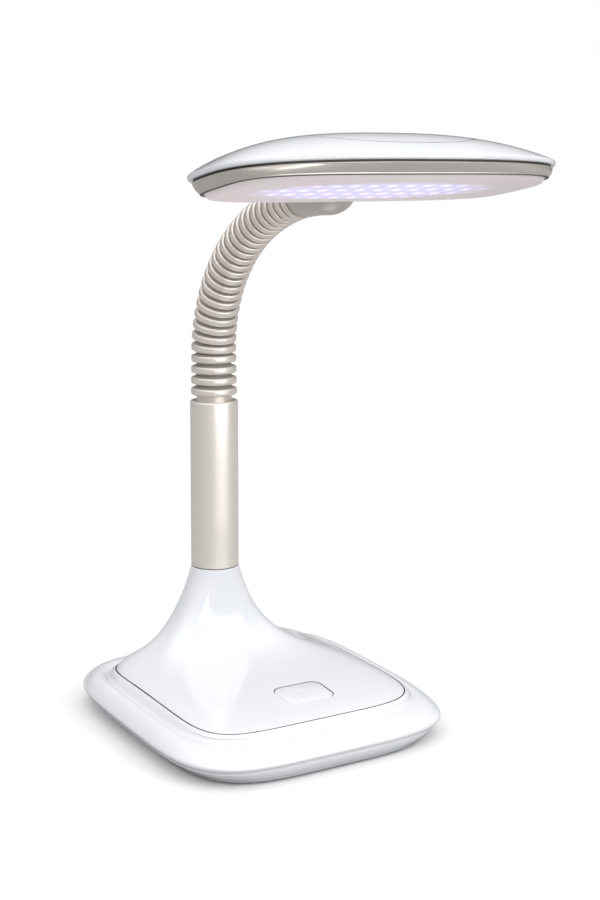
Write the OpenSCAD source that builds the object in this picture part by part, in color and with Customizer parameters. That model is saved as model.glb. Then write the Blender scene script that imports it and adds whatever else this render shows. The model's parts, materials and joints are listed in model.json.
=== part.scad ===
// Desk lamp: a rounded rectangular base with a flared column, a ribbed flexible neck
// and a wide flat lamp head with a frosted lens.
// Lengths are in millimetres. The desk is z = 0 and the front of the lamp looks along -Y.
// The lamp is drawn in the pose of rest, neck arched forward over the base.

/* [Base] */

// Width of the base at its widest line
base_w = 177.8; // [172:0.2:184]
// Depth of the base at its widest line
base_d = 196.6; // [192:0.2:203]
// Height of the widest line above the desk
edge_h = 11.4; // [10.8:0.1:12.2]
// Height of the joint between lower pan and upper rim
pan_h = 8.6; // [8.2:0.1:9.2]
// Inset of the pan bottom at the sides
pan_inset_side = 10.4; // [9.4:0.1:11]
// Inset of the pan bottom at front and back
pan_inset_end = 4.6; // [3.6:0.1:5.4]
// Wall of the base mouldings
base_wall = 2.2; // [2:0.1:2.4]
// Height of the rubber feet below the pan
foot_h = 1.2; // [1:0.1:1.6]
// Diameter of a rubber foot
foot_d = 20; // [18:0.5:22]
// Sideways distance of the feet from the middle
foot_x = 52; // [48:0.5:54]
// Fore and aft distance of the feet from the middle
foot_y = 74; // [72:0.5:76]
// Thickness of the steel ballast plate
ballast_t = 8; // [6:0.2:9]

/* [Cover] */

// Width of the cover at the seam
cover_w = 140.8; // [137:0.2:143]
// Depth of the cover at the seam
cover_d = 149.8; // [147:0.2:152]
// Height of the seam above the desk at the front
cover_h = 23.1; // [22.7:0.1:23.9]
// Rise of the seam from the front to the back
crown_h = 2.2; // [1.6:0.1:2.6]
// Height of the pillow of the cover above the seam
pillow_h = 3.8; // [3.2:0.1:4.4]
// Height of the swell of the rim between edge and step at the back
swell_h = 3; // [2.4:0.1:3.6]
// Width of the rolled step outside the seam
step_w = 4.9; // [4.4:0.1:5.4]
// Height of the rolled step
step_h = 4.6; // [4.2:0.1:5]
// Width of the dark line between cover and rim
seam_gap = 0.3; // [0.2:0.05:0.4]
// Height of the top of the flare
flare_h = 81.4; // [76:0.2:88]

/* [Button] */

// Width of the power button
button_w = 31; // [28:0.5:34]
// Depth of the power button
button_d = 23.5; // [22:0.5:25]
// Corner radius of the power button
button_r = 6; // [4:0.5:7]
// Sideways place of the button, to the right of the middle
button_x = 6.8; // [0:0.2:12]
// Distance of the button in front of the middle
button_y = 44; // [42:0.2:46]
// Travel of the button
button_travel = 1.8; // [1.2:0.1:2]
// Free gap around the button
button_gap = 0.4; // [0.35:0.05:0.6]

/* [Column] */

// Outside diameter of the column tube
column_d = 30; // [29.5:0.1:30.4]
// Wall of the column tube
column_wall = 1.5; // [1.3:0.1:1.6]
// Distance of the column behind the middle of the base
column_y = 54.6; // [53.6:0.1:55]
// Length of the column tube
column_len = 105.3; // [95:0.3:115]
// Outside diameter of the inner pipe
core_d = 16; // [15:0.2:16.4]
// Wall of the inner pipe
core_wall = 1.8; // [1.5:0.1:2.2]

/* [Neck] */

// Distance between the middles of two ribs
rib_pitch = 6.87; // [6.8:0.01:7.1]
// Height of the gap between two ribs in the straight neck
rib_gap = 2.47; // [2.42:0.01:2.6]
// Diameter of the lowest rib
rib_d_low = 28.8; // [28.4:0.1:29]
// Diameter of the highest rib
rib_d_high = 22.9; // [22.6:0.1:23.2]
// Depth of the grooves between the ribs
groove = 2.75; // [2.7:0.05:2.9]
// Bend at the first curved joint in the pose of rest, in degrees
bend_first = 5.39; // [5.1:0.01:5.45]
// Bend at the last curved joint in the pose of rest, in degrees
bend_last = 1.33; // [1.1:0.01:1.6]

/* [Head] */

// Width of the lamp head
head_w = 203.8; // [198:0.2:210]
// Depth of the lamp head
head_d = 94.2; // [92:0.2:97]
// Height of the dome above the middle plane of the head
dome_h = 21.5; // [20.5:0.1:24]
// Height of the rounded lip of the shell
lip_h = 2.9; // [2.6:0.1:3.2]
// Height of the dark gap between shell and bezel
gasket_t = 1.2; // [1:0.1:1.4]
// Height of the bezel below the gap
bezel_h = 5.4; // [5.2:0.1:5.8]
// Drop of the lens below the bezel
lens_drop = 2.5; // [2.2:0.1:3]
// Thickness of the lens
lens_t = 1.5; // [1.3:0.1:1.6]
// Length of the oval inlay on the dome
inlay_w = 100; // [92:1:106]
// Width of the oval inlay on the dome
inlay_d = 26; // [24:0.5:28]
// Length of the ferrule at the end of the neck
ferrule_len = 12.85; // [12:0.05:15]
// Length of the knuckle that stands out behind the head
knuckle_out = 14.9; // [14:0.1:17]
// Greatest radius of the knuckle under the head
knuckle_r = 13.7; // [13.4:0.1:14.2]

/* [Hidden] */

$fn = 96;
sides = 64;
fit = 0.1;

// Base outlines: half sizes and squareness
edge_a = base_w / 2;
edge_b = base_d / 2;
edge_n = 4.41;
pan_n = 4.2;
part_a = edge_a - 2.6;
part_b = edge_b - 1.2;
part_groove = 0.3;
edge_lift = 0.65 * crown_h;
band_inset = 0.5;
band_up = 1.4;
swell_front = 0.2;
foot_a = edge_a - pan_inset_side;
foot_b = edge_b - pan_inset_end;
floor_z = foot_h + base_wall;
foot_recess = 0.6;

// Cover outlines
seam_a = cover_w / 2;
seam_b = cover_d / 2;
seam_n = 5.55;
step_n = 5.3;
crease_n = 4.8;
crease_w = 1;
crown_power = 4.1;
pillow_power = 2.8;
ledge_z = cover_h - base_wall;
ledge_w = 4;
ledge_t = 2;
seat_gap = 0.05;

// Flare of the cover
flare_front = 3.13;
flare_fall = 0.92;
flare_power = 2.89;
flare_square = 0.94;
flare_wall = 2.4;
column_r = column_d / 2;
ceiling_u = 0.12;

// Base screws, board and switch
screw_x = edge_a - 21.6;
screw_y = 58;
screw_r = 1.25;
screw_head_r = 3;
post_r = 4;
ballast_w = 112;
ballast_back = 76;
pin_r = 3;
pin_x = 40;
board_z = floor_z + 7;
board_t = 1.6;
board_w = 52;
board_d = 40;
board_post_r = 2.6;
switch_w = 13;
switch_h = 4.6;
plunger_r = 1.75;
plunger_bore = 2.15;
button_flange = 1.4;
button_flange_z = board_z + board_t + 8.1;
board_x = button_x;
board_y = -button_y;
ballast_front = board_y + board_d / 2 + 1;
ballast_d = ballast_back - ballast_front;
ballast_y = (ballast_back + ballast_front) / 2;

// Cord gland in the back wall
gland_z = (floor_z + pan_h) / 2;
gland_lip_r = (pan_h - floor_z) / 2 - 0.15;
gland_r = gland_lip_r - 0.4;
gland_bore = gland_r - 0.6;
gland_lip_t = 1.1;
gland_y = foot_b - base_wall - 0.9;
gland_out = part_b + 0.4 - gland_y;

// Column and neck foot
column_top = flare_h + column_len;
spigot_r = column_r - column_wall - fit;
spigot_h = 6;
core_r = core_d / 2;
core_low = 15;
core_seat = 11.5;
collar_len = 16.5;
collar_low = column_top - collar_len - 0.2;
washer_t = 1.5;
washer_r = 12.5;
nut_t = 8;
nut_flats = 24;

// Neck chain: joint 1 sits in the lowest rib, the last joint in the ferrule
rib_count = 27;
straight_count = 4;
joint_count = rib_count + 1;
rib_half = (rib_pitch - rib_gap) / 2;
rib_low_z = column_top + rib_half + 3.7;
rib_round = 1.2;
ball_gap = 0.3;
ball_low = 1.6;
ball_high = 0.3;
socket_top = 1.9;
web_top = 3;
neck_wall = 1.2;
ball_lip = 0.4;

// Head
head_a = head_w / 2;
head_b = head_d / 2;
head_n = 2.94;
crown_n = 2.2;
dome_k = 2.95;
dome_p = 0.92;
dome_back = 10;
gap_half = gasket_t / 2;
shell_wall = 2.4;
bezel_low = -gap_half - bezel_h;
bezel_n = 4.1;
bezel_wall = 1.4;
bezel_fall_a = 8.2;
bezel_fall_b = 6.2;
shelf_z = bezel_low + 2.4;
bezel_mid = (bezel_low - gap_half) / 2 + 0.3;
lens_a = head_a - 9.9;
lens_b = head_b - 7.9;
lens_flange_t = 1.3;
lens_low = bezel_low - lens_drop;
plate_gap = 0.1;
plate_t = 1.4;
plate_z = shelf_z + lens_flange_t + plate_gap;
board_low = plate_z + plate_t;
led_board_t = 1.6;
window_w = 140;
window_d = 48;
led_w = 3.5;
led_d = 2.8;
led_t = 1.1;
led_rows = 3;
led_cols = 12;
led_pitch_x = 11;
led_pitch_y = 13;
head_screw_x = head_a - 17.9;
head_screw_y = head_b - 15.1;
head_post_r = 3.5;
inlay_y = 16;
inlay_n = 2.5;
inlay_step = 0.3;
inlay_floor = dome_h - 3.25;
inlay_wall = 1.6;
head_reach = head_b + knuckle_out + ferrule_len;
knuckle_gap = 0.15;
knuckle_screw_x = 7;
knuckle_screw_z = -2.2;
knuckle_head_r = 1.8;
knuckle_head_h = 1.6;
knuckle_seat = head_b - 4.9;
knuckle_wire_r = 1.4;
wire_r = 6;

// Share of the rise of the base at v, which runs from -1 at the front to 1 at the back
function crown(v) = 1 - pow((1 - v) / 2, crown_power);

// Rounded outline in plan: half sizes a and b, squareness n, height z, middle at y = cy,
// rising by lift from front to back
function outline(a, b, n, z, cy = 0, lift = 0) = [
    for (i = [0 : sides - 1])
        let (t = 360 * i / sides, c = cos(t), s = sin(t), v = sign(s) * pow(abs(s), 2 / n))
        [a * sign(c) * pow(abs(c), 2 / n), cy + b * v, z + lift * crown(v)]
];

// Outlines of the base: around the widest line, and around the seam of the cover
function edge_ring(inset, up) =
    outline(edge_a - inset, edge_b - inset, edge_n, edge_h + up, 0, edge_lift);
function seam_ring(grow, z, n = seam_n) =
    outline(seam_a + grow, seam_b + grow, n, z, 0, crown_h);

// Sloping band of the rim: t runs from 0 at the edge to 1 at the crease under the step
function mix(a, b, t) = a + (b - a) * t;
function band_ring(t, side = 0, down = 0) =
    let (swell = swell_h * 4 * t * (1 - t))
    outline(
        mix(edge_a - band_inset, seam_a + step_w + crease_w, t) - side,
        mix(edge_b - band_inset, seam_b + step_w + crease_w, t) - side,
        mix(edge_n, crease_n, t),
        mix(edge_h + band_up, cover_h - step_h - 0.1, t) + swell_front * swell - down,
        0,
        mix(edge_lift, crown_h, t) + (1 - swell_front) * swell
    );

// Skin over a stack of outlines; an open stack gets two end faces, a closed one is a ring
module skin(rings, closed = false) {
    m = len(rings);
    walls = [
        for (j = [0 : closed ? m - 1 : m - 2])
            for (i = [0 : sides - 1])
                let (
                    a = j * sides + i,
                    b = j * sides + (i + 1) % sides,
                    c = (j + 1) % m * sides + (i + 1) % sides,
                    d = (j + 1) % m * sides + i
                )
                each [[a, d, c], [a, c, b]]
    ];
    ends = [
        [for (i = [0 : sides - 1]) i],
        [for (i = [sides - 1 : -1 : 0]) (m - 1) * sides + i]
    ];
    polyhedron([for (r = rings) each r], closed ? walls : concat(walls, ends));
}

// Flat rounded rectangle
module rounded(w, d, r) {
    square([w, d - 2 * r], center = true);
    square([w - 2 * r, d], center = true);
    for (x = [-1, 1])
        for (y = [-1, 1])
            translate([x * (w / 2 - r), y * (d / 2 - r)])
                circle(r);
}

module at_corners(x, y) {
    for (i = [-1, 1])
        for (j = [-1, 1])
            translate([i * x, j * y, 0])
                children();
}

// Cover surface: u runs from 0 at the column to 1 at the seam
function cover_a(u) = column_r + (seam_a - column_r) * u;
function cover_back(u) = column_y + column_r + (seam_b - column_y - column_r) * u;
function cover_front(u) =
    column_y - column_r - (column_y - column_r + seam_b) * pow(u, flare_front);
function cover_n(u) = 2 + (seam_n - 2) * pow(u, flare_square);
function cover_z(u, y) =
    let (w = pow(1 - pow(u, flare_fall), flare_power))
    mix(cover_h + crown_h * crown(y / seam_b) + pillow_h * (1 - pow(u, pillow_power)), flare_h, w);
function cover_plan(u, side, z = 0) = outline(
    cover_a(u) - side,
    (cover_back(u) - cover_front(u)) / 2 - side,
    cover_n(u),
    z,
    (cover_back(u) + cover_front(u)) / 2
);
function cover_ring(u, side = 0, down = 0) = [
    for (p = cover_plan(u, side))
        [p[0], p[1], cover_z(u, min(max(p[1], -seam_b), seam_b)) - down]
];
function inner_side(u) = flare_wall * (1 - pow(u, flare_square));
function inner_cover_ring(u) = cover_ring(u, inner_side(u), base_wall * sqrt(u));
ceiling_z = cover_z(ceiling_u, column_y) - base_wall * sqrt(ceiling_u);

// Height of the cover above the desk on the middle line, in front of the column
function cover_top(y) = cover_z(
    pow((column_y - column_r - y) / (column_y - column_r + seam_b), 1 / flare_front),
    y
);
button_front_z = cover_top(-button_y - button_d / 2);
button_back_z = cover_top(-button_y + button_d / 2);
button_tilt = atan2(button_back_z - button_front_z, button_d);

// Neck chain
function rib_r(i) =
    (rib_d_low + (rib_d_high - rib_d_low) * (i - 1) / (rib_count - 1)) / 2;
function socket_r(i) = rib_r(i) - groove;
function bend(i) = i <= straight_count ? 0
    : bend_first + (bend_last - bend_first) * (i - straight_count - 1)
        / (joint_count - straight_count - 1);
function lean(i) = i < 1 ? 0 : lean(i - 1) + bend(i);
function joint_pos(i) = i <= 1 ? [0, column_y, rib_low_z]
    : joint_pos(i - 1) + rib_pitch * [0, -sin(lean(i - 1)), cos(lean(i - 1))];

module at_joint(i) {
    translate(joint_pos(i))
        rotate([lean(i), 0, 0])
            children();
}

// Frame of the lamp head: local -y points to the front of the head, local z up from the lens
module at_head() {
    at_joint(joint_count)
        translate([0, 0, head_reach])
            rotate([-90, 0, 0])
                children();
}

// Half outline of the ball that turns inside socket i, middle at height z
function ball_points(i, z) =
    let (b = socket_r(i) - ball_gap)
    [
        [b - ball_lip, z - ball_low - ball_lip],
        [sqrt(b * b - ball_low * ball_low), z - ball_low],
        [sqrt(b * b - 0.64), z - 0.8],
        [b, z],
        [b, z + ball_high],
        [b - ball_lip - neck_wall, z + ball_high]
    ];

// Lower pan of the base
module base_pan() {
    color([0.93, 0.94, 0.95])
        difference() {
            union() {
                skin([
                    outline(foot_a - 1, foot_b - 1, pan_n, foot_h),
                    outline(foot_a - 0.3, foot_b - 0.3, pan_n, foot_h + 0.3),
                    outline(foot_a, foot_b, pan_n, foot_h + 0.9),
                    outline(part_a - 2.2, part_b - 0.6, edge_n, pan_h - 2.4),
                    outline(part_a, part_b, edge_n, pan_h - part_groove),
                    outline(part_a - part_groove, part_b - part_groove, edge_n, pan_h),
                    outline(part_a - 2.6, part_b - 2.6, edge_n, pan_h),
                    outline(foot_a - base_wall, foot_b - base_wall, pan_n, floor_z + 0.8),
                    outline(foot_a - base_wall - 0.8, foot_b - base_wall - 0.8, pan_n, floor_z)
                ]);
                translate([board_x, board_y, foot_h + 1])
                    at_corners(board_w / 2 - 4, board_d / 2 - 4)
                        cylinder(r = board_post_r, h = board_z - foot_h - 1);
                for (x = [-pin_x, pin_x])
                    translate([x, ballast_y, foot_h + 1])
                        cylinder(r = pin_r, h = base_wall + ballast_t - 2);
            }
            at_corners(foot_x, foot_y)
                translate([0, 0, -1])
                    cylinder(d = foot_d + 2 * fit, h = foot_h + foot_recess + 1);
            at_corners(screw_x, screw_y)
                base_screw_hole();
            translate([0, gland_y - 2, gland_z])
                rotate([-90, 0, 0])
                    cylinder(r = gland_r, h = 20);
        }
}

module base_screw_hole() {
    rotate_extrude()
        polygon([
            [0, 0],
            [screw_head_r + fit, 0],
            [screw_head_r + fit, foot_h + 0.3],
            [screw_r + fit, foot_h + 0.3 + screw_head_r - screw_r],
            [screw_r + fit, floor_z + 1],
            [0, floor_z + 1]
        ]);
}

// Upper rim of the base with the ledge that carries the cover
module base_rim() {
    band_z = cover_h - step_h;
    band = [0, 0.12, 0.28, 0.46, 0.64, 0.82, 0.93, 1];
    post_top = ledge_z - ledge_t + 1;
    color([0.95, 0.96, 0.97])
        difference() {
            union() {
                skin([
                    outline(part_a - part_groove, part_b - part_groove, edge_n, pan_h),
                    outline(part_a, part_b, edge_n, pan_h + part_groove),
                    edge_ring(0.4, -1),
                    edge_ring(0, 0),
                    edge_ring(0.15, 0.7),
                    for (t = band) band_ring(t),
                    seam_ring(step_w - 0.1, band_z + 0.4, crease_n),
                    seam_ring(3.1, cover_h - 2, step_n),
                    seam_ring(1.9, cover_h - 0.8, step_n),
                    seam_ring(1.1, cover_h - 0.25, step_n),
                    seam_ring(seam_gap + 0.2, cover_h),
                    seam_ring(seam_gap, cover_h - 0.25),
                    seam_ring(seam_gap, ledge_z),
                    seam_ring(-ledge_w, ledge_z),
                    seam_ring(-ledge_w, ledge_z - ledge_t),
                    seam_ring(1.6, ledge_z - ledge_t, step_n),
                    seam_ring(step_w - 1.2, band_z - base_wall, crease_n),
                    band_ring(0.8, 1, base_wall),
                    band_ring(0.4, 1.6, base_wall),
                    edge_ring(4.2, -0.6),
                    outline(part_a - 2.6, part_b - 2.6, edge_n, pan_h)
                ], closed = true);
                for (x = [-screw_x, screw_x])
                    for (y = [-screw_y, screw_y])
                        translate([x, y, floor_z])
                            cylinder(r = post_r, h = post_top + crown_h * crown(y / seam_b) - floor_z);
            }
            at_corners(screw_x, screw_y)
                translate([0, 0, floor_z - 1])
                    cylinder(r = screw_r + 0.05, h = 12);
        }
}

// Top cover of the base, drawn up into the flare that carries the column
module base_cover() {
    rise = [0.985, 0.965, 0.94, 0.905, 0.86, 0.8, 0.73, 0.65, 0.57, 0.49, 0.42, 0.35, 0.29,
        0.235, 0.185, 0.14, 0.1, 0.07, 0.045, 0.02, 0];
    hollow = [0.18, 0.26, 0.36, 0.48, 0.62, 0.78, 0.92];
    color([0.95, 0.96, 0.97])
        difference() {
            union() {
                skin([
                    cover_plan(ceiling_u, inner_side(ceiling_u), ceiling_z),
                    for (u = hollow) inner_cover_ring(u),
                    seam_ring(-ledge_w, ledge_z + seat_gap),
                    seam_ring(0, ledge_z + seat_gap),
                    seam_ring(0, cover_h - 0.5),
                    seam_ring(-0.15, cover_h - 0.15),
                    seam_ring(-0.6, cover_h),
                    for (u = rise) cover_ring(u)
                ]);
                translate([0, column_y, flare_h - 1])
                    cylinder(r = spigot_r, h = spigot_h + 1);
            }
            translate([0, column_y, ceiling_z - 10])
                cylinder(r = core_r + fit, h = flare_h);
            translate([button_x, -button_y, floor_z])
                linear_extrude(cover_h + 10)
                    rounded(
                        button_w + 2 * button_gap,
                        button_d + 2 * button_gap,
                        button_r + button_gap
                    );
        }
}

// Push button, flush with the sloping cover, with a retaining flange below
module power_button() {
    mid_z = (button_front_z + button_back_z) / 2;
    color([0.93, 0.94, 0.96])
        translate([button_x, -button_y, 0])
            difference() {
                union() {
                    translate([0, 0, button_flange_z])
                        linear_extrude(mid_z - button_flange_z + 4)
                            rounded(button_w, button_d, button_r);
                    translate([0, 0, button_flange_z])
                        linear_extrude(button_flange)
                            rounded(button_w + 3, button_d + 3, button_r + 1.5);
                }
                translate([0, 0, mid_z])
                    rotate([button_tilt, 0, 0])
                        translate([-40, -40, 0])
                            cube([80, 80, 20]);
                translate([0, 0, mid_z])
                    rotate([button_tilt, 0, 0])
                        translate([0, 0, -0.25])
                            linear_extrude(1)
                                difference() {
                                    circle(4);
                                    circle(3.2);
                                }
                translate([0, 0, button_flange_z - 1])
                    linear_extrude(2.6)
                        difference() {
                            rounded(button_w - 4, button_d - 4, button_r - 2);
                            circle(plunger_r + 1.5);
                        }
            }
}

// Switch on the board under the button
module switch_body() {
    color([0.12, 0.12, 0.13])
        translate([button_x, -button_y, board_z + board_t])
            difference() {
                linear_extrude(switch_h)
                    rounded(switch_w, switch_w, 1);
                translate([0, 0, -1])
                    cylinder(r = plunger_bore, h = switch_h + 2);
            }
}

module switch_plunger() {
    color([0.75, 0.2, 0.15])
        translate([button_x, -button_y, button_flange_z - plunger_len()])
            cylinder(r = plunger_r, h = plunger_len());
}

function plunger_len() = button_flange_z - board_z - board_t - button_travel - 0.6;

// Circuit board of the switch
module control_board() {
    color([0.1, 0.35, 0.2])
        translate([board_x, board_y, board_z])
            linear_extrude(board_t)
                rounded(board_w, board_d, 2);
}

// Steel plate that keeps the base on the desk
module ballast_weight() {
    color([0.35, 0.36, 0.38])
        translate([0, ballast_y, floor_z])
            linear_extrude(ballast_t)
                difference() {
                    rounded(ballast_w, ballast_d, 8);
                    for (x = [-pin_x, pin_x])
                        translate([x, 0])
                            circle(pin_r + fit);
                }
}

module rubber_feet() {
    color([0.1, 0.1, 0.1])
        at_corners(foot_x, foot_y)
            rotate_extrude()
                polygon([
                    [0, 0],
                    [foot_d / 2 - 0.5, 0],
                    [foot_d / 2, 0.5],
                    [foot_d / 2, foot_h + foot_recess],
                    [0, foot_h + foot_recess]
                ]);
}

module base_screws() {
    color([0.6, 0.61, 0.63])
        at_corners(screw_x, screw_y)
            difference() {
                rotate_extrude()
                    polygon([
                        [0, foot_h + 0.3],
                        [screw_head_r, foot_h + 0.3],
                        [screw_r, foot_h + 0.3 + screw_head_r - screw_r],
                        [screw_r, floor_z + 9],
                        [0, floor_z + 10]
                    ]);
                for (turn = [0, 90])
                    rotate([0, 0, turn])
                        translate([-1.7, -0.35, 0])
                            cube([3.4, 0.7, foot_h + 1.2]);
            }
}

// Rubber gland where the cord would enter the back wall
module cord_gland() {
    color([0.13, 0.13, 0.14])
        translate([0, gland_y, gland_z])
            rotate([-90, 0, 0])
                rotate_extrude()
                    polygon([
                        [gland_bore, -gland_lip_t],
                        [gland_lip_r, -gland_lip_t],
                        [gland_lip_r, 0],
                        [gland_r - fit, 0],
                        [gland_r - fit, gland_out - 0.4],
                        [gland_r - fit - 0.4, gland_out],
                        [gland_bore, gland_out]
                    ]);
}

// Column tube over the flare
module column_tube() {
    bore = column_r - column_wall;
    color([0.82, 0.8, 0.78])
        translate([0, column_y, 0])
            rotate_extrude()
                polygon([
                    [bore, flare_h],
                    [column_r - 0.35, flare_h],
                    [column_r, flare_h + 0.35],
                    [column_r, column_top - 1.4],
                    [column_r - 0.3, column_top - 0.6],
                    [column_r - 0.9, column_top - 0.1],
                    [column_r - 1.2, column_top],
                    [bore, column_top]
                ]);
}

// Pipe through column and flare
module column_core() {
    color([0.6, 0.6, 0.62])
        translate([0, column_y, ceiling_z - core_low])
            difference() {
                cylinder(r = core_r, h = collar_low + core_seat - ceiling_z + core_low);
                translate([0, 0, -1])
                    cylinder(r = core_r - core_wall, h = column_top);
            }
}

module lock_washer() {
    color([0.65, 0.66, 0.68])
        translate([0, column_y, ceiling_z - washer_t])
            difference() {
                cylinder(r = washer_r, h = washer_t);
                translate([0, 0, -1])
                    cylinder(r = core_r + fit, h = washer_t + 2);
            }
}

module lock_nut() {
    color([0.65, 0.66, 0.68])
        translate([0, column_y, ceiling_z - washer_t - nut_t])
            difference() {
                cylinder(d = nut_flats / cos(30), h = nut_t, $fn = 6);
                translate([0, 0, -1])
                    cylinder(r = core_r + 0.05, h = nut_t + 2);
            }
}

// Plug in the top of the tube that carries the first neck socket
module neck_collar() {
    tip = rib_low_z;
    b = socket_r(1) - ball_gap;
    color([0.7, 0.68, 0.66])
        translate([0, column_y, 0])
            rotate_extrude()
                polygon(concat(
                    [
                        [core_r + 0.05, collar_low],
                        [spigot_r, collar_low],
                        [spigot_r, column_top - 0.9],
                        [spigot_r - 0.7, column_top - 0.2],
                        [b - ball_lip, column_top - 0.2]
                    ],
                    ball_points(1, tip),
                    [
                        [b - ball_lip - neck_wall, column_top],
                        [wire_r, column_top - 3],
                        [wire_r, collar_low + core_seat],
                        [core_r + 0.05, collar_low + core_seat]
                    ]
                ));
}

// One rib of the sleeve with the turn of conduit inside it
module neck_link(i) {
    r = rib_r(i);
    s = socket_r(i);
    n = socket_r(i + 1) - ball_gap - ball_lip;
    color([0.8, 0.77, 0.74])
        at_joint(i)
            rotate_extrude()
                polygon(concat(
                    [
                        [s, -rib_half],
                        [r - rib_round, -rib_half],
                        [r - 0.35, -rib_half + 0.35],
                        [r, -rib_half + rib_round],
                        [r, rib_half - rib_round],
                        [r - 0.35, rib_half - 0.35],
                        [r - rib_round, rib_half],
                        [s + 0.8, rib_half],
                        [s, web_top - 0.1],
                        [n, web_top + 0.4]
                    ],
                    ball_points(i + 1, rib_pitch),
                    [
                        [n - neck_wall, socket_top],
                        [s, socket_top]
                    ]
                ));
}

// Ferrule that ends the neck
module neck_ferrule() {
    r = rib_r(joint_count);
    s = socket_r(joint_count);
    color([0.72, 0.69, 0.67])
        at_joint(joint_count)
            rotate_extrude()
                polygon([
                    [s, -rib_half],
                    [r - 0.6, -rib_half],
                    [r, -rib_half + 0.6],
                    [knuckle_r - 1.6, ferrule_len - 0.5],
                    [knuckle_r - 1.9, ferrule_len],
                    [wire_r, ferrule_len],
                    [wire_r, socket_top],
                    [s, socket_top]
                ]);
}

// Outside of the head, grown a little, for the seat of the knuckle
module head_envelope(grow) {
    skin([
        outline(lens_a - 3.5 + grow, lens_b - 4.6 + grow, bezel_n, lens_low - grow),
        outline(lens_a - 2.3 + grow, lens_b - 2.6 + grow, bezel_n, lens_low + 0.9 - grow),
        outline(lens_a - 2.1 + grow, lens_b - 1.7 + grow, bezel_n, bezel_low - 0.3 - grow),
        outline(head_a - bezel_fall_a + grow, head_b - bezel_fall_b + grow, bezel_n, bezel_low + 0.1 - grow),
        outline(
            head_a - bezel_fall_a + 0.9 + grow, head_b - bezel_fall_b + 0.75 + grow, 3.9,
            bezel_low + 1.2 - grow
        ),
        outline(
            head_a - bezel_fall_a * 0.45 + grow, head_b - bezel_fall_b * 0.45 + grow, 3.4,
            bezel_mid - grow
        ),
        outline(head_a - 1.9 + grow, head_b - 1.1 + grow, head_n, -gap_half - 0.4 - grow),
        outline(head_a + grow, head_b + grow, head_n, gap_half),
        outline(head_a + grow, head_b + grow, head_n, lip_h),
        dome_ring(0.95, grow),
        dome_ring(0.85, grow),
        dome_ring(0.7, grow)
    ]);
}

// Knuckle under the back of the head, revolved about the neck and cut to the head
module head_knuckle() {
    color([0.68, 0.65, 0.63])
        difference() {
            at_joint(joint_count)
                rotate_extrude()
                    polygon([
                        [wire_r, ferrule_len],
                        [knuckle_r - 1.9, ferrule_len],
                        [knuckle_r - 1.6, ferrule_len + 0.5],
                        [knuckle_r - 0.7, ferrule_len + 7],
                        [knuckle_r - 0.15, ferrule_len + 11],
                        [knuckle_r, ferrule_len + 14],
                        [knuckle_r - 0.2, ferrule_len + 17],
                        [knuckle_r - 0.8, ferrule_len + 20],
                        [knuckle_r - 1.7, ferrule_len + 23],
                        [knuckle_r - 3, ferrule_len + 26],
                        [knuckle_r - 4.5, ferrule_len + 29],
                        [0, ferrule_len + 31],
                        [0, ferrule_len + 10],
                        [wire_r, ferrule_len + 10]
                    ]);
            at_head()
                head_envelope(knuckle_gap);
            at_head()
                for (x = [-knuckle_screw_x, knuckle_screw_x])
                    translate([x, head_b - 12, knuckle_screw_z])
                        rotate([-90, 0, 0])
                            cylinder(r = screw_r + 0.05, h = 18);
            at_head()
                translate([0, head_b - 12, knuckle_screw_z])
                    rotate([-90, 0, 0])
                        cylinder(r = knuckle_wire_r, h = 24);
        }
}

module knuckle_screws() {
    color([0.6, 0.61, 0.63])
        at_head()
            for (x = [-knuckle_screw_x, knuckle_screw_x])
                translate([x, knuckle_seat, knuckle_screw_z])
                    rotate([-90, 0, 0]) {
                        translate([0, 0, -knuckle_head_h])
                            cylinder(r = knuckle_head_r, h = knuckle_head_h);
                        cylinder(r = screw_r, h = 9.5);
                    }
}

// Lower frame of the head
module head_bezel() {
    color([0.74, 0.72, 0.69])
        at_head()
            difference() {
                skin([
                    outline(
                        head_a - bezel_fall_a - bezel_wall, head_b - bezel_fall_b - bezel_wall,
                        bezel_n, bezel_low
                    ),
                    outline(head_a - bezel_fall_a - 0.5, head_b - bezel_fall_b - 0.5, bezel_n, bezel_low),
                    outline(head_a - bezel_fall_a, head_b - bezel_fall_b, bezel_n, bezel_low + 0.4),
                    outline(
                        head_a - bezel_fall_a + 0.9, head_b - bezel_fall_b + 0.75, 3.9, bezel_low + 1.2
                    ),
                    outline(
                        head_a - bezel_fall_a * 0.45, head_b - bezel_fall_b * 0.45, 3.4,
                        bezel_mid
                    ),
                    outline(head_a - 2.2, head_b - 1.4, head_n, -gap_half - 0.5),
                    outline(head_a - 1.9, head_b - 1.1, head_n, -gap_half - 0.2),
                    outline(head_a - 2.1, head_b - 1.3, head_n, -gap_half),
                    outline(head_a - 5.6, head_b - 4.3, head_n, -gap_half),
                    outline(lens_a + 0.4, lens_b + 0.4, bezel_n, shelf_z + 1.6),
                    outline(lens_a + 0.4, lens_b + 0.4, bezel_n, shelf_z),
                    outline(
                        head_a - bezel_fall_a - bezel_wall, head_b - bezel_fall_b - bezel_wall,
                        bezel_n, shelf_z
                    )
                ], closed = true);
                for (x = [-knuckle_screw_x, knuckle_screw_x])
                    translate([x, head_b, knuckle_screw_z])
                        rotate([-90, 0, 0]) {
                            translate([0, 0, -12])
                                cylinder(r = screw_r + fit, h = 20);
                            translate([0, 0, knuckle_seat - head_b - 6])
                                cylinder(r = knuckle_head_r + fit, h = 6);
                        }
                translate([0, head_b - 12, knuckle_screw_z])
                    rotate([-90, 0, 0])
                        cylinder(r = knuckle_wire_r, h = 24);
            }
}

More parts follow.
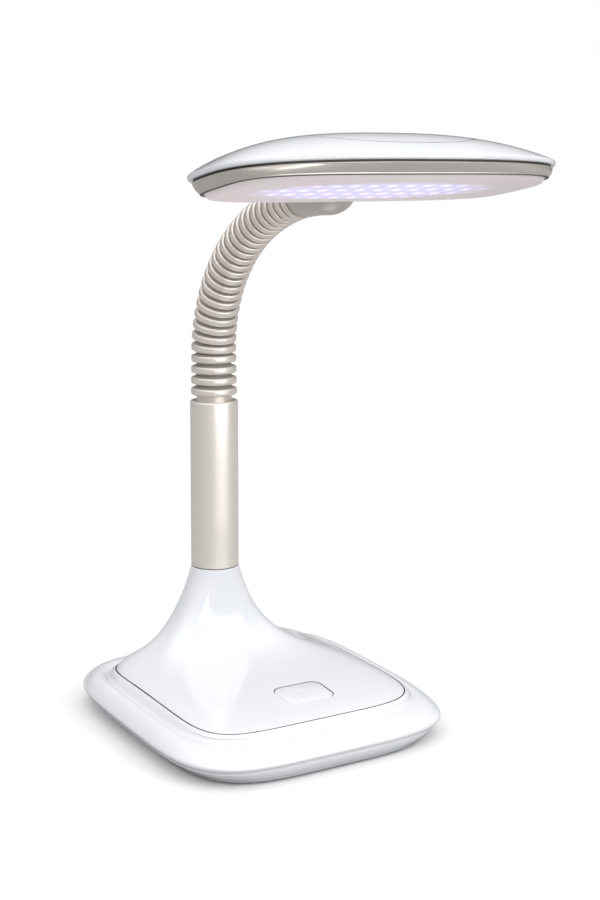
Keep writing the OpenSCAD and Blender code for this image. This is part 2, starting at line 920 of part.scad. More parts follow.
// Dark seal in the gap between bezel and shell
module head_gasket() {
    color([0.16, 0.15, 0.14])
        at_head()
            skin([
                outline(head_a - 5.2, head_b - 4, head_n, -gap_half),
                outline(head_a - 2.7, head_b - 1.9, head_n, -gap_half),
                outline(head_a - 2.7, head_b - 1.9, head_n, gap_half),
                outline(head_a - 5.2, head_b - 4, head_n, gap_half)
            ], closed = true);
}

// Dome: k runs from 1 at the lip to 0 at the crown
function dome_g(k) = pow(1 - pow(k, dome_k), dome_p);
function dome_ring(k, grow = 0) = outline(
    head_a * k + grow,
    head_b * k + grow,
    crown_n + (head_n - crown_n) * k,
    lip_h + (dome_h - lip_h) * dome_g(k) + grow,
    dome_back * dome_g(k)
);
function inner_dome_ring(k) = outline(
    (head_a - shell_wall) * k,
    (head_b - shell_wall) * k,
    crown_n + (head_n - crown_n) * k,
    lip_h + (inlay_floor - inlay_wall - lip_h) * dome_g(k),
    dome_back * dome_g(k)
);

// Upper shell of the head with its screw posts and the pocket for the inlay
module head_shell() {
    rise = [0.995, 0.98, 0.95, 0.91, 0.86, 0.8, 0.72, 0.63, 0.53, 0.42, 0.3, 0.18, 0.06];
    hollow = [0.1, 0.35, 0.55, 0.72, 0.85, 0.94, 0.99];
    color([0.95, 0.96, 0.97])
        at_head()
            difference() {
                union() {
                    skin([
                        for (k = hollow) inner_dome_ring(k),
                        outline(head_a - 4.6, head_b - 3.6, head_n, gap_half),
                        outline(head_a - 0.9, head_b - 0.9, head_n, gap_half),
                        outline(head_a - 0.25, head_b - 0.25, head_n, gap_half + 0.4),
                        outline(head_a, head_b, head_n, gap_half + 1.1),
                        outline(head_a, head_b, head_n, lip_h - 0.3),
                        for (k = rise) dome_ring(k)
                    ]);
                    for (p = head_screw_places())
                        translate([p[0], p[1], board_low + led_board_t])
                            cylinder(r = head_post_r, h = p[2] - board_low - led_board_t);
                }
                for (p = head_screw_places())
                    translate([p[0], p[1], board_low])
                        cylinder(r = screw_r + 0.05, h = 6);
                translate([0, 0, inlay_floor])
                    linear_extrude(dome_h)
                        flat_outline(inlay_w / 2, inlay_d / 2, inlay_n, inlay_y);
            }
}

// Places of the head screws and the height at which each post ends inside the shell wall
function head_screw_places() = [
    [head_screw_x, 0, dome_h * 0.47],
    [-head_screw_x, 0, dome_h * 0.47],
    [0, head_screw_y, dome_h * 0.74],
    [0, -head_screw_y, dome_h * 0.48]
];

// Rounded outline as a flat shape
module flat_outline(a, b, n, cy = 0) {
    polygon([for (p = outline(a, b, n, 0, cy)) [p[0], p[1]]]);
}

// Oval inlay let into the top of the dome, a step lower than the dome around it
module shell_inlay() {
    color([0.94, 0.95, 0.97])
        at_head()
            intersection() {
                translate([0, 0, inlay_floor])
                    linear_extrude(dome_h)
                        flat_outline(
                            inlay_w / 2 - inlay_step, inlay_d / 2 - inlay_step, inlay_n, inlay_y
                        );
                translate([0, 0, -inlay_step])
                    skin([for (k = [0.8, 0.72, 0.63, 0.53, 0.42, 0.3, 0.18, 0.06]) dome_ring(k)]);
            }
}

// Frosted lens, a shallow tray with a flange on the bezel shelf
module lens() {
    color([0.9, 0.88, 0.92])
        at_head()
            skin([
                outline(lens_a - 3.5, lens_b - 4.6, bezel_n, lens_low),
                outline(lens_a - 2.3, lens_b - 2.6, bezel_n, lens_low + 0.9),
                outline(lens_a - 2.1, lens_b - 1.7, bezel_n, bezel_low - 0.3),
                outline(lens_a - 2.1, lens_b - 1.7, bezel_n, shelf_z),
                outline(lens_a, lens_b, bezel_n, shelf_z),
                outline(lens_a, lens_b, bezel_n, shelf_z + lens_flange_t),
                outline(lens_a - 3.4, lens_b - 3.1, bezel_n, shelf_z + lens_flange_t),
                outline(lens_a - 3.6, lens_b - 3.3, bezel_n, bezel_low),
                outline(lens_a - 4.4, lens_b - 5.3, bezel_n, lens_low + lens_t)
            ]);
}

// White plate with a window for the light
module reflector_plate() {
    color([0.92, 0.92, 0.93])
        at_head()
            translate([0, 0, plate_z])
                linear_extrude(plate_t)
                    difference() {
                        flat_outline(lens_a - 0.8, lens_b - 0.8, bezel_n);
                        rounded(window_w, window_d, 8);
                        for (p = head_screw_places())
                            translate([p[0], p[1]])
                                circle(screw_r + fit);
                    }
}

module led_board() {
    color([0.9, 0.9, 0.88])
        at_head()
            translate([0, 0, board_low])
                linear_extrude(led_board_t)
                    difference() {
                        flat_outline(lens_a - 1.8, lens_b - 1.8, bezel_n);
                        for (p = head_screw_places())
                            translate([p[0], p[1]])
                                circle(screw_r + fit);
                    }
}

// Rows of light emitters
module leds() {
    color([0.98, 0.95, 0.75])
        at_head()
            for (i = [0 : led_cols - 1])
                for (j = [0 : led_rows - 1])
                    translate([
                        (i - (led_cols - 1) / 2) * led_pitch_x - led_w / 2,
                        (j - (led_rows - 1) / 2) * led_pitch_y - led_d / 2,
                        board_low - led_t
                    ])
                        cube([led_w, led_d, led_t]);
}

module head_screws() {
    color([0.6, 0.61, 0.63])
        at_head()
            for (p = head_screw_places())
                translate([p[0], p[1], plate_z]) {
                    translate([0, 0, -1.3])
                        cylinder(r = 2.4, h = 1.3);
                    cylinder(r = screw_r, h = plate_t + led_board_t + 4);
                }
}

function link_name(i) = str("neck_link_", i < 10 ? "0" : "", i);

base_pan();
base_rim();
base_cover();
power_button();
switch_body();
switch_plunger();
control_board();
ballast_weight();
rubber_feet();
base_screws();
cord_gland();
column_tube();
column_core();
lock_washer();
lock_nut();
neck_collar();
for (i = [1 : rib_count])
    neck_link(i);
neck_ferrule();
head_knuckle();
knuckle_screws();
head_bezel();
head_gasket();
head_shell();
shell_inlay();
lens();
reflector_plate();
led_board();
leds();
head_screws();
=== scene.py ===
"""Dresses the desk lamp: base mouldings, column, ribbed neck, lamp head, finishes and a plain pale stage."""

import json
import math

import bmesh
import bpy
from bpy.props import FloatProperty, FloatVectorProperty, PointerProperty
from mathutils import Matrix, Vector


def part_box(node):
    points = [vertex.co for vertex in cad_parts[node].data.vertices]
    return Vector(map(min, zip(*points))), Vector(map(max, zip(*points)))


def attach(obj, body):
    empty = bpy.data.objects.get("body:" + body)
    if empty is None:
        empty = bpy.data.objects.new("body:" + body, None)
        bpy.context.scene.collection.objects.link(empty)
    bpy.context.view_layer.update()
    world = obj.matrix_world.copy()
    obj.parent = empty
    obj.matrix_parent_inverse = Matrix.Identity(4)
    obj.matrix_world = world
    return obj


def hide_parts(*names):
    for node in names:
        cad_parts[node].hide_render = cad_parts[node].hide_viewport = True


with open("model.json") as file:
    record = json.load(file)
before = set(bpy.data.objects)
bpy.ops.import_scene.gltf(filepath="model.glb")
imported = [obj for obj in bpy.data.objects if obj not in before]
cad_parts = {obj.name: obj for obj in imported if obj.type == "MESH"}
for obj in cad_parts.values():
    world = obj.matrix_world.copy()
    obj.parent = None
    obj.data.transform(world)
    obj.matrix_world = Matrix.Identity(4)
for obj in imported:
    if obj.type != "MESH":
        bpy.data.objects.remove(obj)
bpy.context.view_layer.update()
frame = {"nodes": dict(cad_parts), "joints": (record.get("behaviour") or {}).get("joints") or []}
NODE_BOXES = {node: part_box(node) for node in frame["nodes"]}

bl_info = {
    "name": "Desk lamp dresser",
    "version": (1, 0, 0),
    "blender": (4, 5, 0),
    "location": "View3D > Sidebar > Lamp",
    "description": "Models the visible mouldings, neck and head of a desk lamp around its frame",
    "category": "Object",
}

MM = 0.001
SIDES = 144
SMOOTH_ANGLE = math.radians(32)
COLOUR = {"subtype": "COLOR", "size": 3, "min": 0.0, "max": 1.0}


def node_size(node, axis):
    """Extent of a frame node along one axis, in millimetres."""
    low, high = NODE_BOXES[node]
    return (high[axis] - low[axis]) / MM


def node_low(node, axis):
    """Lowest coordinate of a frame node along one axis, in millimetres."""
    return NODE_BOXES[node][0][axis] / MM


def node_high(node, axis):
    """Highest coordinate of a frame node along one axis, in millimetres."""
    return NODE_BOXES[node][1][axis] / MM


class LampBaseSettings(bpy.types.PropertyGroup):
    """Sizes of the base mouldings, in millimetres."""

    edge_height: FloatProperty(
        name="Edge height",
        description="Height of the widest line of the base above the desk",
        default=11.4,
    )
    parting_height: FloatProperty(
        name="Parting height",
        description="Height of the joint between pan and rim",
        default=8.6,
    )
    seam_gap: FloatProperty(
        name="Seam gap",
        description="Width of the dark line between cover and rim",
        default=0.7,
    )
    step_width: FloatProperty(
        name="Step width",
        description="Width of the rolled step outside the seam",
        default=4.9,
    )
    step_height: FloatProperty(
        name="Step height",
        description="Height of the rolled step",
        default=4.6,
    )
    seam_height: FloatProperty(
        name="Seam height",
        description="Height of the cover's edge above the desk at the front",
        default=23.1,
    )
    crown_rise: FloatProperty(
        name="Crown rise",
        description="Rise of the seam from the front to the back",
        default=2.2,
    )
    back_fall: FloatProperty(
        name="Back fall",
        description="Fall of the seam at the back of the base",
        default=2.4,
    )
    pillow_rise: FloatProperty(
        name="Pillow rise",
        description="Height of the pillow of the cover above the seam",
        default=4.0,
    )
    swell: FloatProperty(
        name="Rim swell",
        description="Height of the swell of the rim between edge and step at the back",
        default=3.0,
    )
    flare_top: FloatProperty(
        name="Flare top",
        description="Height at which the flare meets the column",
        default=node_low("column_tube", 2),
    )
    button_round: FloatProperty(
        name="Button corner",
        description="Corner radius of the power button",
        default=6.0,
    )


class LampNeckSettings(bpy.types.PropertyGroup):
    """Sizes of the ribbed neck, in millimetres."""

    rib_height: FloatProperty(
        name="Rib height",
        description="Height of one rib",
        default=4.4,
    )
    groove_depth: FloatProperty(
        name="Groove depth",
        description="Depth of the grooves between the ribs",
        default=2.75,
    )
    rib_round: FloatProperty(
        name="Rib rounding",
        description="Radius of the rounded edges of a rib",
        default=1.35,
    )


class LampHeadSettings(bpy.types.PropertyGroup):
    """Sizes of the lamp head, in millimetres."""

    dome_height: FloatProperty(
        name="Dome height",
        description="Height of the dome above the middle plane of the head",
        default=21.5,
    )
    lip_height: FloatProperty(
        name="Lip height",
        description="Height of the rounded lip of the shell",
        default=2.9,
    )
    gap_height: FloatProperty(
        name="Gap height",
        description="Height of the dark gap between shell and bezel",
        default=1.2,
    )
    bezel_height: FloatProperty(
        name="Bezel height",
        description="Height of the bezel below the gap",
        default=5.4,
    )
    lens_drop: FloatProperty(
        name="Lens drop",
        description="Drop of the lens below the bezel",
        default=2.5,
    )
    reach: FloatProperty(
        name="Reach",
        description="Distance from the last neck joint to the middle of the head",
        default=74.85,
    )


class LampFinishSettings(bpy.types.PropertyGroup):
    """Colours of the finishes."""

    white: FloatVectorProperty(
        name="White moulding",
        description="Gloss white of base and dome",
        **COLOUR,
        default=(0.83, 0.85, 0.88),
    )
    champagne: FloatVectorProperty(
        name="Champagne paint",
        description="Satin paint of the column",
        **COLOUR,
        default=(0.845, 0.795, 0.737),
    )
    sleeve: FloatVectorProperty(
        name="Neck sleeve",
        description="Satin sleeve of the neck",
        **COLOUR,
        default=(0.8, 0.74, 0.68),
    )
    bezel: FloatVectorProperty(
        name="Bezel",
        description="Satin frame of the head",
        **COLOUR,
        default=(0.6, 0.565, 0.525),
    )
    lens: FloatVectorProperty(
        name="Lens",
        description="Frosted lens",
        **COLOUR,
        default=(0.5, 0.46, 0.47),
    )
    lens_edge: FloatVectorProperty(
        name="Lens edge light",
        description="Light of the lens near its edge",
        **COLOUR,
        default=(0.31, 0.27, 0.27),
    )
    spots: FloatVectorProperty(
        name="Spot light",
        description="Light of the faint spots of the emitters",
        **COLOUR,
        default=(0.85, 0.83, 1.0),
    )
    glow: FloatVectorProperty(
        name="Glow",
        description="Light behind the lens",
        **COLOUR,
        default=(0.42, 0.395, 0.64),
    )


class LampStageSettings(bpy.types.PropertyGroup):
    """Camera and light."""

    camera_azimuth: FloatProperty(
        name="Camera azimuth",
        description="Turn of the camera round the lamp",
        subtype="ANGLE",
        default=math.radians(-30.66),
    )
    camera_elevation: FloatProperty(
        name="Camera elevation",
        description="Height of the camera above the horizon",
        subtype="ANGLE",
        default=math.radians(5.73),
    )
    camera_place: FloatVectorProperty(
        name="Camera place",
        description="Where the camera stands",
        subtype="TRANSLATION",
        unit="LENGTH",
        size=3,
        default=(-0.42400, -0.76640, 0.33020),
    )
    camera_lens: FloatProperty(
        name="Focal length",
        description="Focal length of the camera in millimetres",
        default=59.44,
    )
    camera_shift: FloatProperty(
        name="Frame shift",
        description="Upward shift of the frame",
        default=-0.1457,
    )
    floor_bounce: FloatProperty(
        name="Floor bounce",
        description="Share of its light that the floor throws back up",
        default=0.46,
    )
    floor_near: FloatProperty(
        name="Floor near",
        description="Distance from the lamp up to which the floor keeps the shadow",
        unit="LENGTH",
        default=0.2,
    )
    floor_far: FloatProperty(
        name="Floor far",
        description="Distance from the lamp at which the floor is plain white",
        unit="LENGTH",
        default=0.5,
    )
    sky_fall: FloatProperty(
        name="Sky fall",
        description="Steepness of the fall from the bright to the dark side of the sky",
        default=3.0,
    )
    front_power: FloatProperty(
        name="Low card power",
        description="Power of the low card that shows in the gloss only",
        unit="POWER",
        default=6.0,
    )
    sky_aim: FloatVectorProperty(
        name="Sky aim",
        description="Direction of the brightest part of the sky",
        subtype="DIRECTION",
        size=3,
        default=(-0.15, -0.3, 0.94),
    )
    sky_low: FloatProperty(
        name="Sky low",
        description="Strength of the sky on its dark side",
        default=0.0,
    )
    sky_high: FloatProperty(
        name="Sky high",
        description="Strength of the sky on its bright side",
        default=1.92,
    )
    key_power: FloatProperty(
        name="Key power",
        description="Power of the large softbox in front",
        unit="POWER",
        default=3.4,
    )
    side_power: FloatProperty(
        name="Side power",
        description="Power of the strip light on the left",
        unit="POWER",
        default=0.2,
    )


# Outlines and lofts


def mix(a, b, t):
    """Value between a and b at share t."""
    return a + (b - a) * t


def crown(v):
    """Share of the rise of the base at v, which runs from -1 at the front to 1 at the back."""
    return 1.0 - ((1.0 - v) / 2.0) ** CROWN_POWER


def back_fall(v):
    """Share of the fall of the seam at v, which is 1 at the back."""
    return max(0.0, (v - BACK_START) / (1.0 - BACK_START)) ** 2


def outline(a, b, n, z, cy=0.0, lift=0.0, fall=0.0):
    """Rounded outline in millimetres: half sizes a and b, squareness n, height z, middle at y = cy,
    rising by lift from front to back and falling again by fall at the back."""
    ring = []
    for i in range(SIDES):
        t = 2.0 * math.pi * i / SIDES
        c, s = math.cos(t), math.sin(t)
        x = math.copysign(a * abs(c) ** (2.0 / n), c)
        v = math.copysign(abs(s) ** (2.0 / n), s)
        ring.append(Vector((x, cy + b * v, z + lift * crown(v) - fall * back_fall(v))))
    return ring


def inset_rings(half, n, level, steps):
    """Outlines for (side, ahead, up) steps: set in from the half sizes by side and ahead, up from a level."""
    return [outline(half[0] - side, half[1] - ahead, n, level + up) for side, ahead, up in steps]


def side_rings(start, end, n, heights, bulge, steps):
    """Outlines on the way between two half sizes, squarenesses and heights, swelling outwards by a bulge."""
    rings = []
    for i in range(1, steps):
        t = i / steps
        half = [mix(start[k], end[k], t) + bulge[k] * t * (1.0 - t) for k in (0, 1)]
        rings.append(outline(*half, mix(*n, t), mix(*heights, t)))
    return rings


def circles(profile):
    """Round outlines for a profile of (radius, height) pairs."""
    return [outline(r, r, 2.0, z) for r, z in profile]


def arc(middle, radius, start, end, steps):
    """Points (r, z) on an arc about middle, angles in degrees from the r axis."""
    points = []
    for i in range(steps + 1):
        t = math.radians(start + (end - start) * i / steps)
        points.append((middle[0] + radius * math.cos(t), middle[1] + radius * math.sin(t)))
    return points


def settle(piece, ring, place):
    """Moves the selected loop of a piece onto an outline."""
    mesh = bmesh.from_edit_mesh(piece.data)
    spot = mesh.verts.layers.int["spot"]
    for vert in mesh.verts:
        if vert.select:
            vert.co = place @ (ring[vert[spot]] * MM)
    bmesh.update_edit_mesh(piece.data)


def name_new(name):
    """Names the primitive that was just added, and its mesh."""
    piece = bpy.context.active_object
    piece.name = name
    piece.data.name = name
    return piece


def begin_circle(name):
    """Adds a circle to draw a piece from and enters edit mode."""
    bpy.ops.object.select_all(action="DESELECT")
    bpy.ops.mesh.primitive_circle_add(vertices=SIDES, radius=MM)
    piece = name_new(name)
    bpy.ops.object.mode_set(mode="EDIT")
    bpy.ops.mesh.select_mode(type="VERT")
    mesh = bmesh.from_edit_mesh(piece.data)
    spot = mesh.verts.layers.int.new("spot")
    for i, vert in enumerate(mesh.verts):
        vert[spot] = i
    bmesh.update_edit_mesh(piece.data)
    return piece


def loft(name, rings, closed=False, place=Matrix.Identity(4)):
    """Draws a piece through a stack of outlines by extruding one edge loop again and again."""
    piece = begin_circle(name)
    settle(piece, rings[0], place)
    for ring in rings[1:]:
        bpy.ops.mesh.extrude_edges_move(TRANSFORM_OT_translate={"value": (0.0, 0.0, 0.0)})
        settle(piece, ring, place)
    if not closed:
        bpy.ops.mesh.edge_face_add()
    bpy.ops.mesh.select_all(action="DESELECT")
    bpy.ops.mesh.select_non_manifold()
    if closed:
        bpy.ops.mesh.bridge_edge_loops()
    else:
        bpy.ops.mesh.edge_face_add()
    bpy.ops.mesh.select_all(action="SELECT")
    bpy.ops.mesh.normals_make_consistent(inside=False)
    bpy.ops.object.mode_set(mode="OBJECT")
    piece.data.attributes.remove(piece.data.attributes["spot"])
    smooth(piece)
    return piece


def pick(piece):
    """Selects one piece alone and makes it the active one."""
    bpy.ops.object.select_all(action="DESELECT")
    piece.select_set(True)
    bpy.context.view_layer.objects.active = piece


def smooth(piece):
    """Smooth shading that keeps the sharp edges."""
    pick(piece)
    bpy.ops.object.shade_smooth_by_angle(angle=SMOOTH_ANGLE)


def apply_modifier(piece, kind, **values):
    """Adds a modifier with these values and applies it."""
    pick(piece)
    modifier = piece.modifiers.new(kind.title(), kind)
    for key, value in values.items():
        setattr(modifier, key, value)
    bpy.ops.object.modifier_apply(modifier=modifier.name)


def cut(piece, cutter, operation="DIFFERENCE"):
    """Cuts one piece with another, or keeps what they share, and removes the cutter."""
    apply_modifier(piece, "BOOLEAN", operation=operation, object=cutter, solver="EXACT")
    mesh = cutter.data
    bpy.data.objects.remove(cutter)
    bpy.data.meshes.remove(mesh)


def finish_mesh(piece, finish):
    """Gives a piece one finish in place of what it had."""
    piece.data.materials.clear()
    piece.data.materials.append(finish)


def dress(piece, finish, body, node):
    """Gives a piece its finish, its body and the node that it stands for."""
    finish_mesh(piece, finish)
    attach(piece, body)
    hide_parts(node)


def shade_faces(piece, finish, wanted):
    """Gives a second material to the faces of a piece that wanted picks; here it always carries painted
    shade.
    """
    if finish.name not in piece.data.materials:
        piece.data.materials.append(finish)
    for face in piece.data.polygons:
        if wanted(face):
            face.material_index = 1


# Neck and head placement from the joints of the frame


def neck_joints():
    """Places of the neck joints in order, in metres, with the axis of the last one."""
    chain = [j for j in frame["joints"] if j["name"].startswith("neck_")]
    return [Vector(j["pos_m"]) for j in chain], Vector(chain[-1]["axis"])


def lean_of(direction):
    """Forward lean of a direction in the middle plane, from upright."""
    return math.atan2(-direction.y, direction.z)


def link_place(index):
    """Frame of a neck link: its joint, with local z along the neck."""
    places, last_axis = neck_joints()
    if index < len(places) - 1:
        lean = lean_of(places[index + 1] - places[index])
    else:
        below = lean_of(places[index] - places[index - 1])
        middle = math.atan2(last_axis.z, last_axis.y)
        lean = 2.0 * middle - below
    return Matrix.Translation(places[index]) @ Matrix.Rotation(lean, 4, "X")


def head_place():
    """Frame of the head: local -y to the front, local z up from the lens."""
    reach = bpy.context.scene.lamp_head.reach * MM
    last = len(neck_joints()[0]) - 1
    return link_place(last) @ Matrix.Translation((0.0, 0.0, reach)) @ Matrix.Rotation(-math.pi / 2, 4, "X")


# Finishes

# Oval glow of the lens in millimetres, the grid of its spots, and the shares over which each of them fades
GLOW_MIDDLE = (-5.0, -3.0, 0.0)
GLOW_HALF = (72.0, 28.0)
GLOW_PITCH = (11.0, 13.0)
GLOW_FADE = {"From Min": 1.08, "From Max": 0.72}
SPOT_FADE = {"From Min": 0.36, "From Max": 0.08, "To Max": 0.9}
SIDE_FADE = {"From Min": 0.01, "From Max": 0.095, "To Min": 1.0, "To Max": 0.72}
# Painted shade in the neck's grooves: share of the sleeve's colour that they keep
GROOVE_SHADE_TONE = 0.5
COAT_ROUGHNESS = 0.05


def new_finish(name):
    """An empty material with its shader and output."""
    material = bpy.data.materials.new(name)
    material.use_nodes = True
    tree = material.node_tree
    return material, tree, tree.nodes["Principled BSDF"]


def add_node(tree, kind, place, inputs=None, **values):
    """Adds a shader node and sets its properties and inputs."""
    node = tree.nodes.new(kind)
    node.location = place
    for key, value in values.items():
        setattr(node, key, value)
    for key, value in (inputs or {}).items():
        node.inputs[key].default_value = value
    return node


def wire(tree, *links):
    """Links nodes of a tree, each link given as (node, output, node, input)."""
    for start, leaving, end, entry in links:
        tree.links.new(start.outputs[leaving], end.inputs[entry])


def moulded_skin_group():
    """Group for a moulded skin: fine orange peel as bump and slow changes of gloss."""
    group = bpy.data.node_groups.get("Moulded skin")
    if group:
        return group
    group = bpy.data.node_groups.new("Moulded skin", "ShaderNodeTree")
    sockets = group.interface
    for name, value in (("Grain", 900.0), ("Depth", 0.04), ("Gloss low", 0.12), ("Gloss high", 0.2)):
        socket = sockets.new_socket(name, in_out="INPUT", socket_type="NodeSocketFloat")
        socket.default_value = value
    sockets.new_socket("Roughness", in_out="OUTPUT", socket_type="NodeSocketFloat")
    sockets.new_socket("Normal", in_out="OUTPUT", socket_type="NodeSocketVector")
    sockets.new_socket("Cloud", in_out="OUTPUT", socket_type="NodeSocketFloat")
    start = add_node(group, "NodeGroupInput", (-800, 0))
    end = add_node(group, "NodeGroupOutput", (500, 0))
    coords = add_node(group, "ShaderNodeTexCoord", (-800, 300))
    peel = add_node(group, "ShaderNodeTexNoise", (-500, 200), {"Detail": 2.0})
    cloud = add_node(group, "ShaderNodeTexNoise", (-500, -100), {"Scale": 28.0, "Detail": 4.0})
    bump = add_node(group, "ShaderNodeBump", (-100, 200), {"Distance": 0.0002})
    spread = add_node(group, "ShaderNodeMapRange", (-100, -100))
    wire(
        group,
        (coords, "Object", peel, "Vector"),
        (coords, "Object", cloud, "Vector"),
        (start, "Grain", peel, "Scale"),
        (start, "Depth", bump, "Strength"),
        (peel, "Fac", bump, "Height"),
        (cloud, "Fac", spread, "Value"),
        (start, "Gloss low", spread, "To Min"),
        (start, "Gloss high", spread, "To Max"),
        (spread, "Result", end, "Roughness"),
        (bump, "Normal", end, "Normal"),
        (cloud, "Fac", end, "Cloud"),
    )
    return group


def moulded(name, colour, grain, depth, gloss, metallic=0.0, coat=0.0, tint=0.04):
    """Moulded or painted surface: colour with faint clouds, fine grain and uneven gloss."""
    found = bpy.data.materials.get(name)
    if found:
        return found
    material, tree, shader = new_finish(name)
    values = {"Grain": grain, "Depth": depth, "Gloss low": gloss[0], "Gloss high": gloss[1]}
    skin = add_node(tree, "ShaderNodeGroup", (-500, 0), values, node_tree=moulded_skin_group())
    dark = [c * (1.0 - tint) for c in colour]
    pale = [min(1.0, c * (1.0 + tint)) for c in colour]
    tints = {"A": (*dark, 1.0), "B": (*pale, 1.0)}
    shade = add_node(tree, "ShaderNodeMix", (-250, 200), tints, data_type="RGBA")
    wire(
        tree,
        (skin, "Cloud", shade, "Factor"),
        (shade, "Result", shader, "Base Color"),
        (skin, "Roughness", shader, "Roughness"),
        (skin, "Normal", shader, "Normal"),
    )
    shader.inputs["Metallic"].default_value = metallic
    shader.inputs["Coat Weight"].default_value = coat
    shader.inputs["Coat Roughness"].default_value = COAT_ROUGHNESS
    return material


def white_finish():
    """Gloss white moulding."""
    colour = bpy.context.scene.lamp_finish.white
    return moulded("Gloss white moulding", colour, 700.0, 0.015, (0.07, 0.11), coat=0.4, tint=0.01)


def champagne_finish():
    """Satin champagne paint of the column."""
    colour = bpy.context.scene.lamp_finish.champagne
    gloss = (0.36, 0.42)
    return moulded("Satin champagne paint", colour, 5200.0, 0.05, gloss, metallic=0.6, coat=0.2, tint=0.02)


def sleeve_finish():
    """Satin sleeve of the neck."""
    colour = bpy.context.scene.lamp_finish.sleeve
    gloss = (0.3, 0.36)
    return moulded("Satin neck sleeve", colour, 3600.0, 0.06, gloss, metallic=0.5, coat=0.4, tint=0.03)


def bezel_finish():
    """Satin frame of the head."""
    colour = bpy.context.scene.lamp_finish.bezel
    return moulded("Satin head frame", colour, 4600.0, 0.05, (0.28, 0.36), metallic=0.6, tint=0.03)


def painted_groove_shade():
    """Painted shade: the sleeve's colour darkened down in its grooves, where shadow falls."""
    colour = [c * GROOVE_SHADE_TONE for c in bpy.context.scene.lamp_finish.sleeve]
    return moulded("Sleeve groove painted shade", colour, 2600.0, 0.05, (0.5, 0.6), tint=0.03)


def painted_gap_shade():
    """Painted shade: dull dark colour on the walls of narrow gaps, where shadow falls."""
    return moulded("Seam shadow", (0.1, 0.1, 0.105), 1500.0, 0.1, (0.6, 0.8))


def lens_finish():
    """Frosted lens: the light of the emitters shows as a soft oval glow with spots, dimmer to one side."""
    found = bpy.data.materials.get("Frosted lens")
    if found:
        return found
    finish = bpy.context.scene.lamp_finish
    material = moulded("Frosted lens", finish.lens, 1500.0, 0.05, (0.3, 0.4), tint=0.015)
    tree = material.node_tree
    shader = tree.nodes["Principled BSDF"]

    def vector(operation, place, *second):
        """Vector Math node, with its second vector if it has one."""
        return add_node(tree, "ShaderNodeVectorMath", place, dict(enumerate(second, 1)), operation=operation)

    def fade(place, values):
        """Soft Map Range node."""
        return add_node(tree, "ShaderNodeMapRange", place, values, interpolation_type="SMOOTHSTEP")

    stand = head_place()
    turn = {"Location": stand.translation, "Rotation": stand.to_euler()}
    coords = add_node(tree, "ShaderNodeTexCoord", (-1500, -500))
    local = add_node(tree, "ShaderNodeMapping", (-1300, -500), turn, vector_type="TEXTURE")
    move = vector("SUBTRACT", (-1100, -400), [c * MM for c in GLOW_MIDDLE])
    scale = vector("MULTIPLY", (-900, -400), (*[1.0 / (half * MM) for half in GLOW_HALF], 0.0))
    reach = vector("LENGTH", (-700, -400))
    oval = fade((-500, -400), GLOW_FADE)
    cells = vector("MULTIPLY", (-1100, -700), (*[1.0 / (pitch * MM) for pitch in GLOW_PITCH], 0.0))
    cell = vector("FRACTION", (-900, -700))
    middle = vector("SUBTRACT", (-700, -700), (0.5, 0.5, 0.0))
    far = vector("LENGTH", (-500, -700))
    spot = fade((-300, -700), SPOT_FADE)
    spots = add_node(tree, "ShaderNodeMath", (-100, -600), operation="MULTIPLY")
    tones = {"A": (*finish.lens_edge, 1.0), "B": (*finish.glow, 1.0)}
    glow = add_node(tree, "ShaderNodeMix", (100, -400), tones, data_type="RGBA")
    shine = add_node(tree, "ShaderNodeMix", (300, -400), {"B": (*finish.spots, 1.0)}, data_type="RGBA")
    axes = add_node(tree, "ShaderNodeSeparateXYZ", (-1100, -1000))
    side = fade((-700, -1000), SIDE_FADE)
    wire(
        tree,
        (coords, "Object", local, "Vector"),
        (local, "Vector", move, 0),
        (move, "Vector", scale, 0),
        (scale, "Vector", reach, 0),
        (reach, "Value", oval, "Value"),
        (local, "Vector", cells, 0),
        (cells, "Vector", cell, 0),
        (cell, "Vector", middle, 0),
        (middle, "Vector", far, 0),
        (far, "Value", spot, "Value"),
        (spot, "Result", spots, 0),
        (oval, "Result", spots, 1),
        (oval, "Result", glow, "Factor"),
        (glow, "Result", shine, "A"),
        (spots, "Value", shine, "Factor"),
        (local, "Vector", axes, "Vector"),
        (axes, "X", side, "Value"),
        (shine, "Result", shader, "Emission Color"),
        (side, "Result", shader, "Emission Strength"),
    )
    return material


def lit_finish(name, colour, light, strength):
    """Lit surface behind the lens."""
    found = bpy.data.materials.get(name)
    if found:
        return found
    material = moulded(name, colour, 1200.0, 0.05, (0.4, 0.5))
    shader = material.node_tree.nodes["Principled BSDF"]
    shader.inputs["Emission Color"].default_value = (*light, 1.0)
    shader.inputs["Emission Strength"].default_value = strength
    return material


# Finishes of the inner pieces: name, colour, grain, its depth, gloss and share of metal
STEEL = ("Bright steel", (0.55, 0.56, 0.58), 2600.0, 0.05, (0.25, 0.4), 1.0)
RUBBER = ("Black rubber", (0.03, 0.03, 0.031), 2200.0, 0.2, (0.55, 0.75), 0.0)
INNER_FINISHES = {
    "base_screws": STEEL,
    "knuckle_screws": STEEL,
    "head_screws": STEEL,
    "column_core": STEEL,
    "lock_washer": STEEL,
    "lock_nut": STEEL,
    "ballast_weight": ("Raw ballast", (0.2, 0.2, 0.21), 900.0, 0.3, (0.5, 0.7), 0.8),
    "rubber_feet": RUBBER,
    "cord_gland": RUBBER,
    "head_gasket": ("Dark seal", (0.035, 0.032, 0.03), 2200.0, 0.15, (0.5, 0.65), 0.0),
    "control_board": ("Green board", (0.05, 0.2, 0.1), 1600.0, 0.1, (0.3, 0.45), 0.0),
    "switch_body": ("Black switch", (0.04, 0.04, 0.042), 2000.0, 0.1, (0.35, 0.5), 0.0),
    "switch_plunger": ("Red plunger", (0.45, 0.07, 0.06), 2000.0, 0.1, (0.35, 0.5), 0.0),
    "reflector_plate": ("White reflector", (0.88, 0.86, 0.87), 1800.0, 0.05, (0.4, 0.5), 0.0),
}


# Base


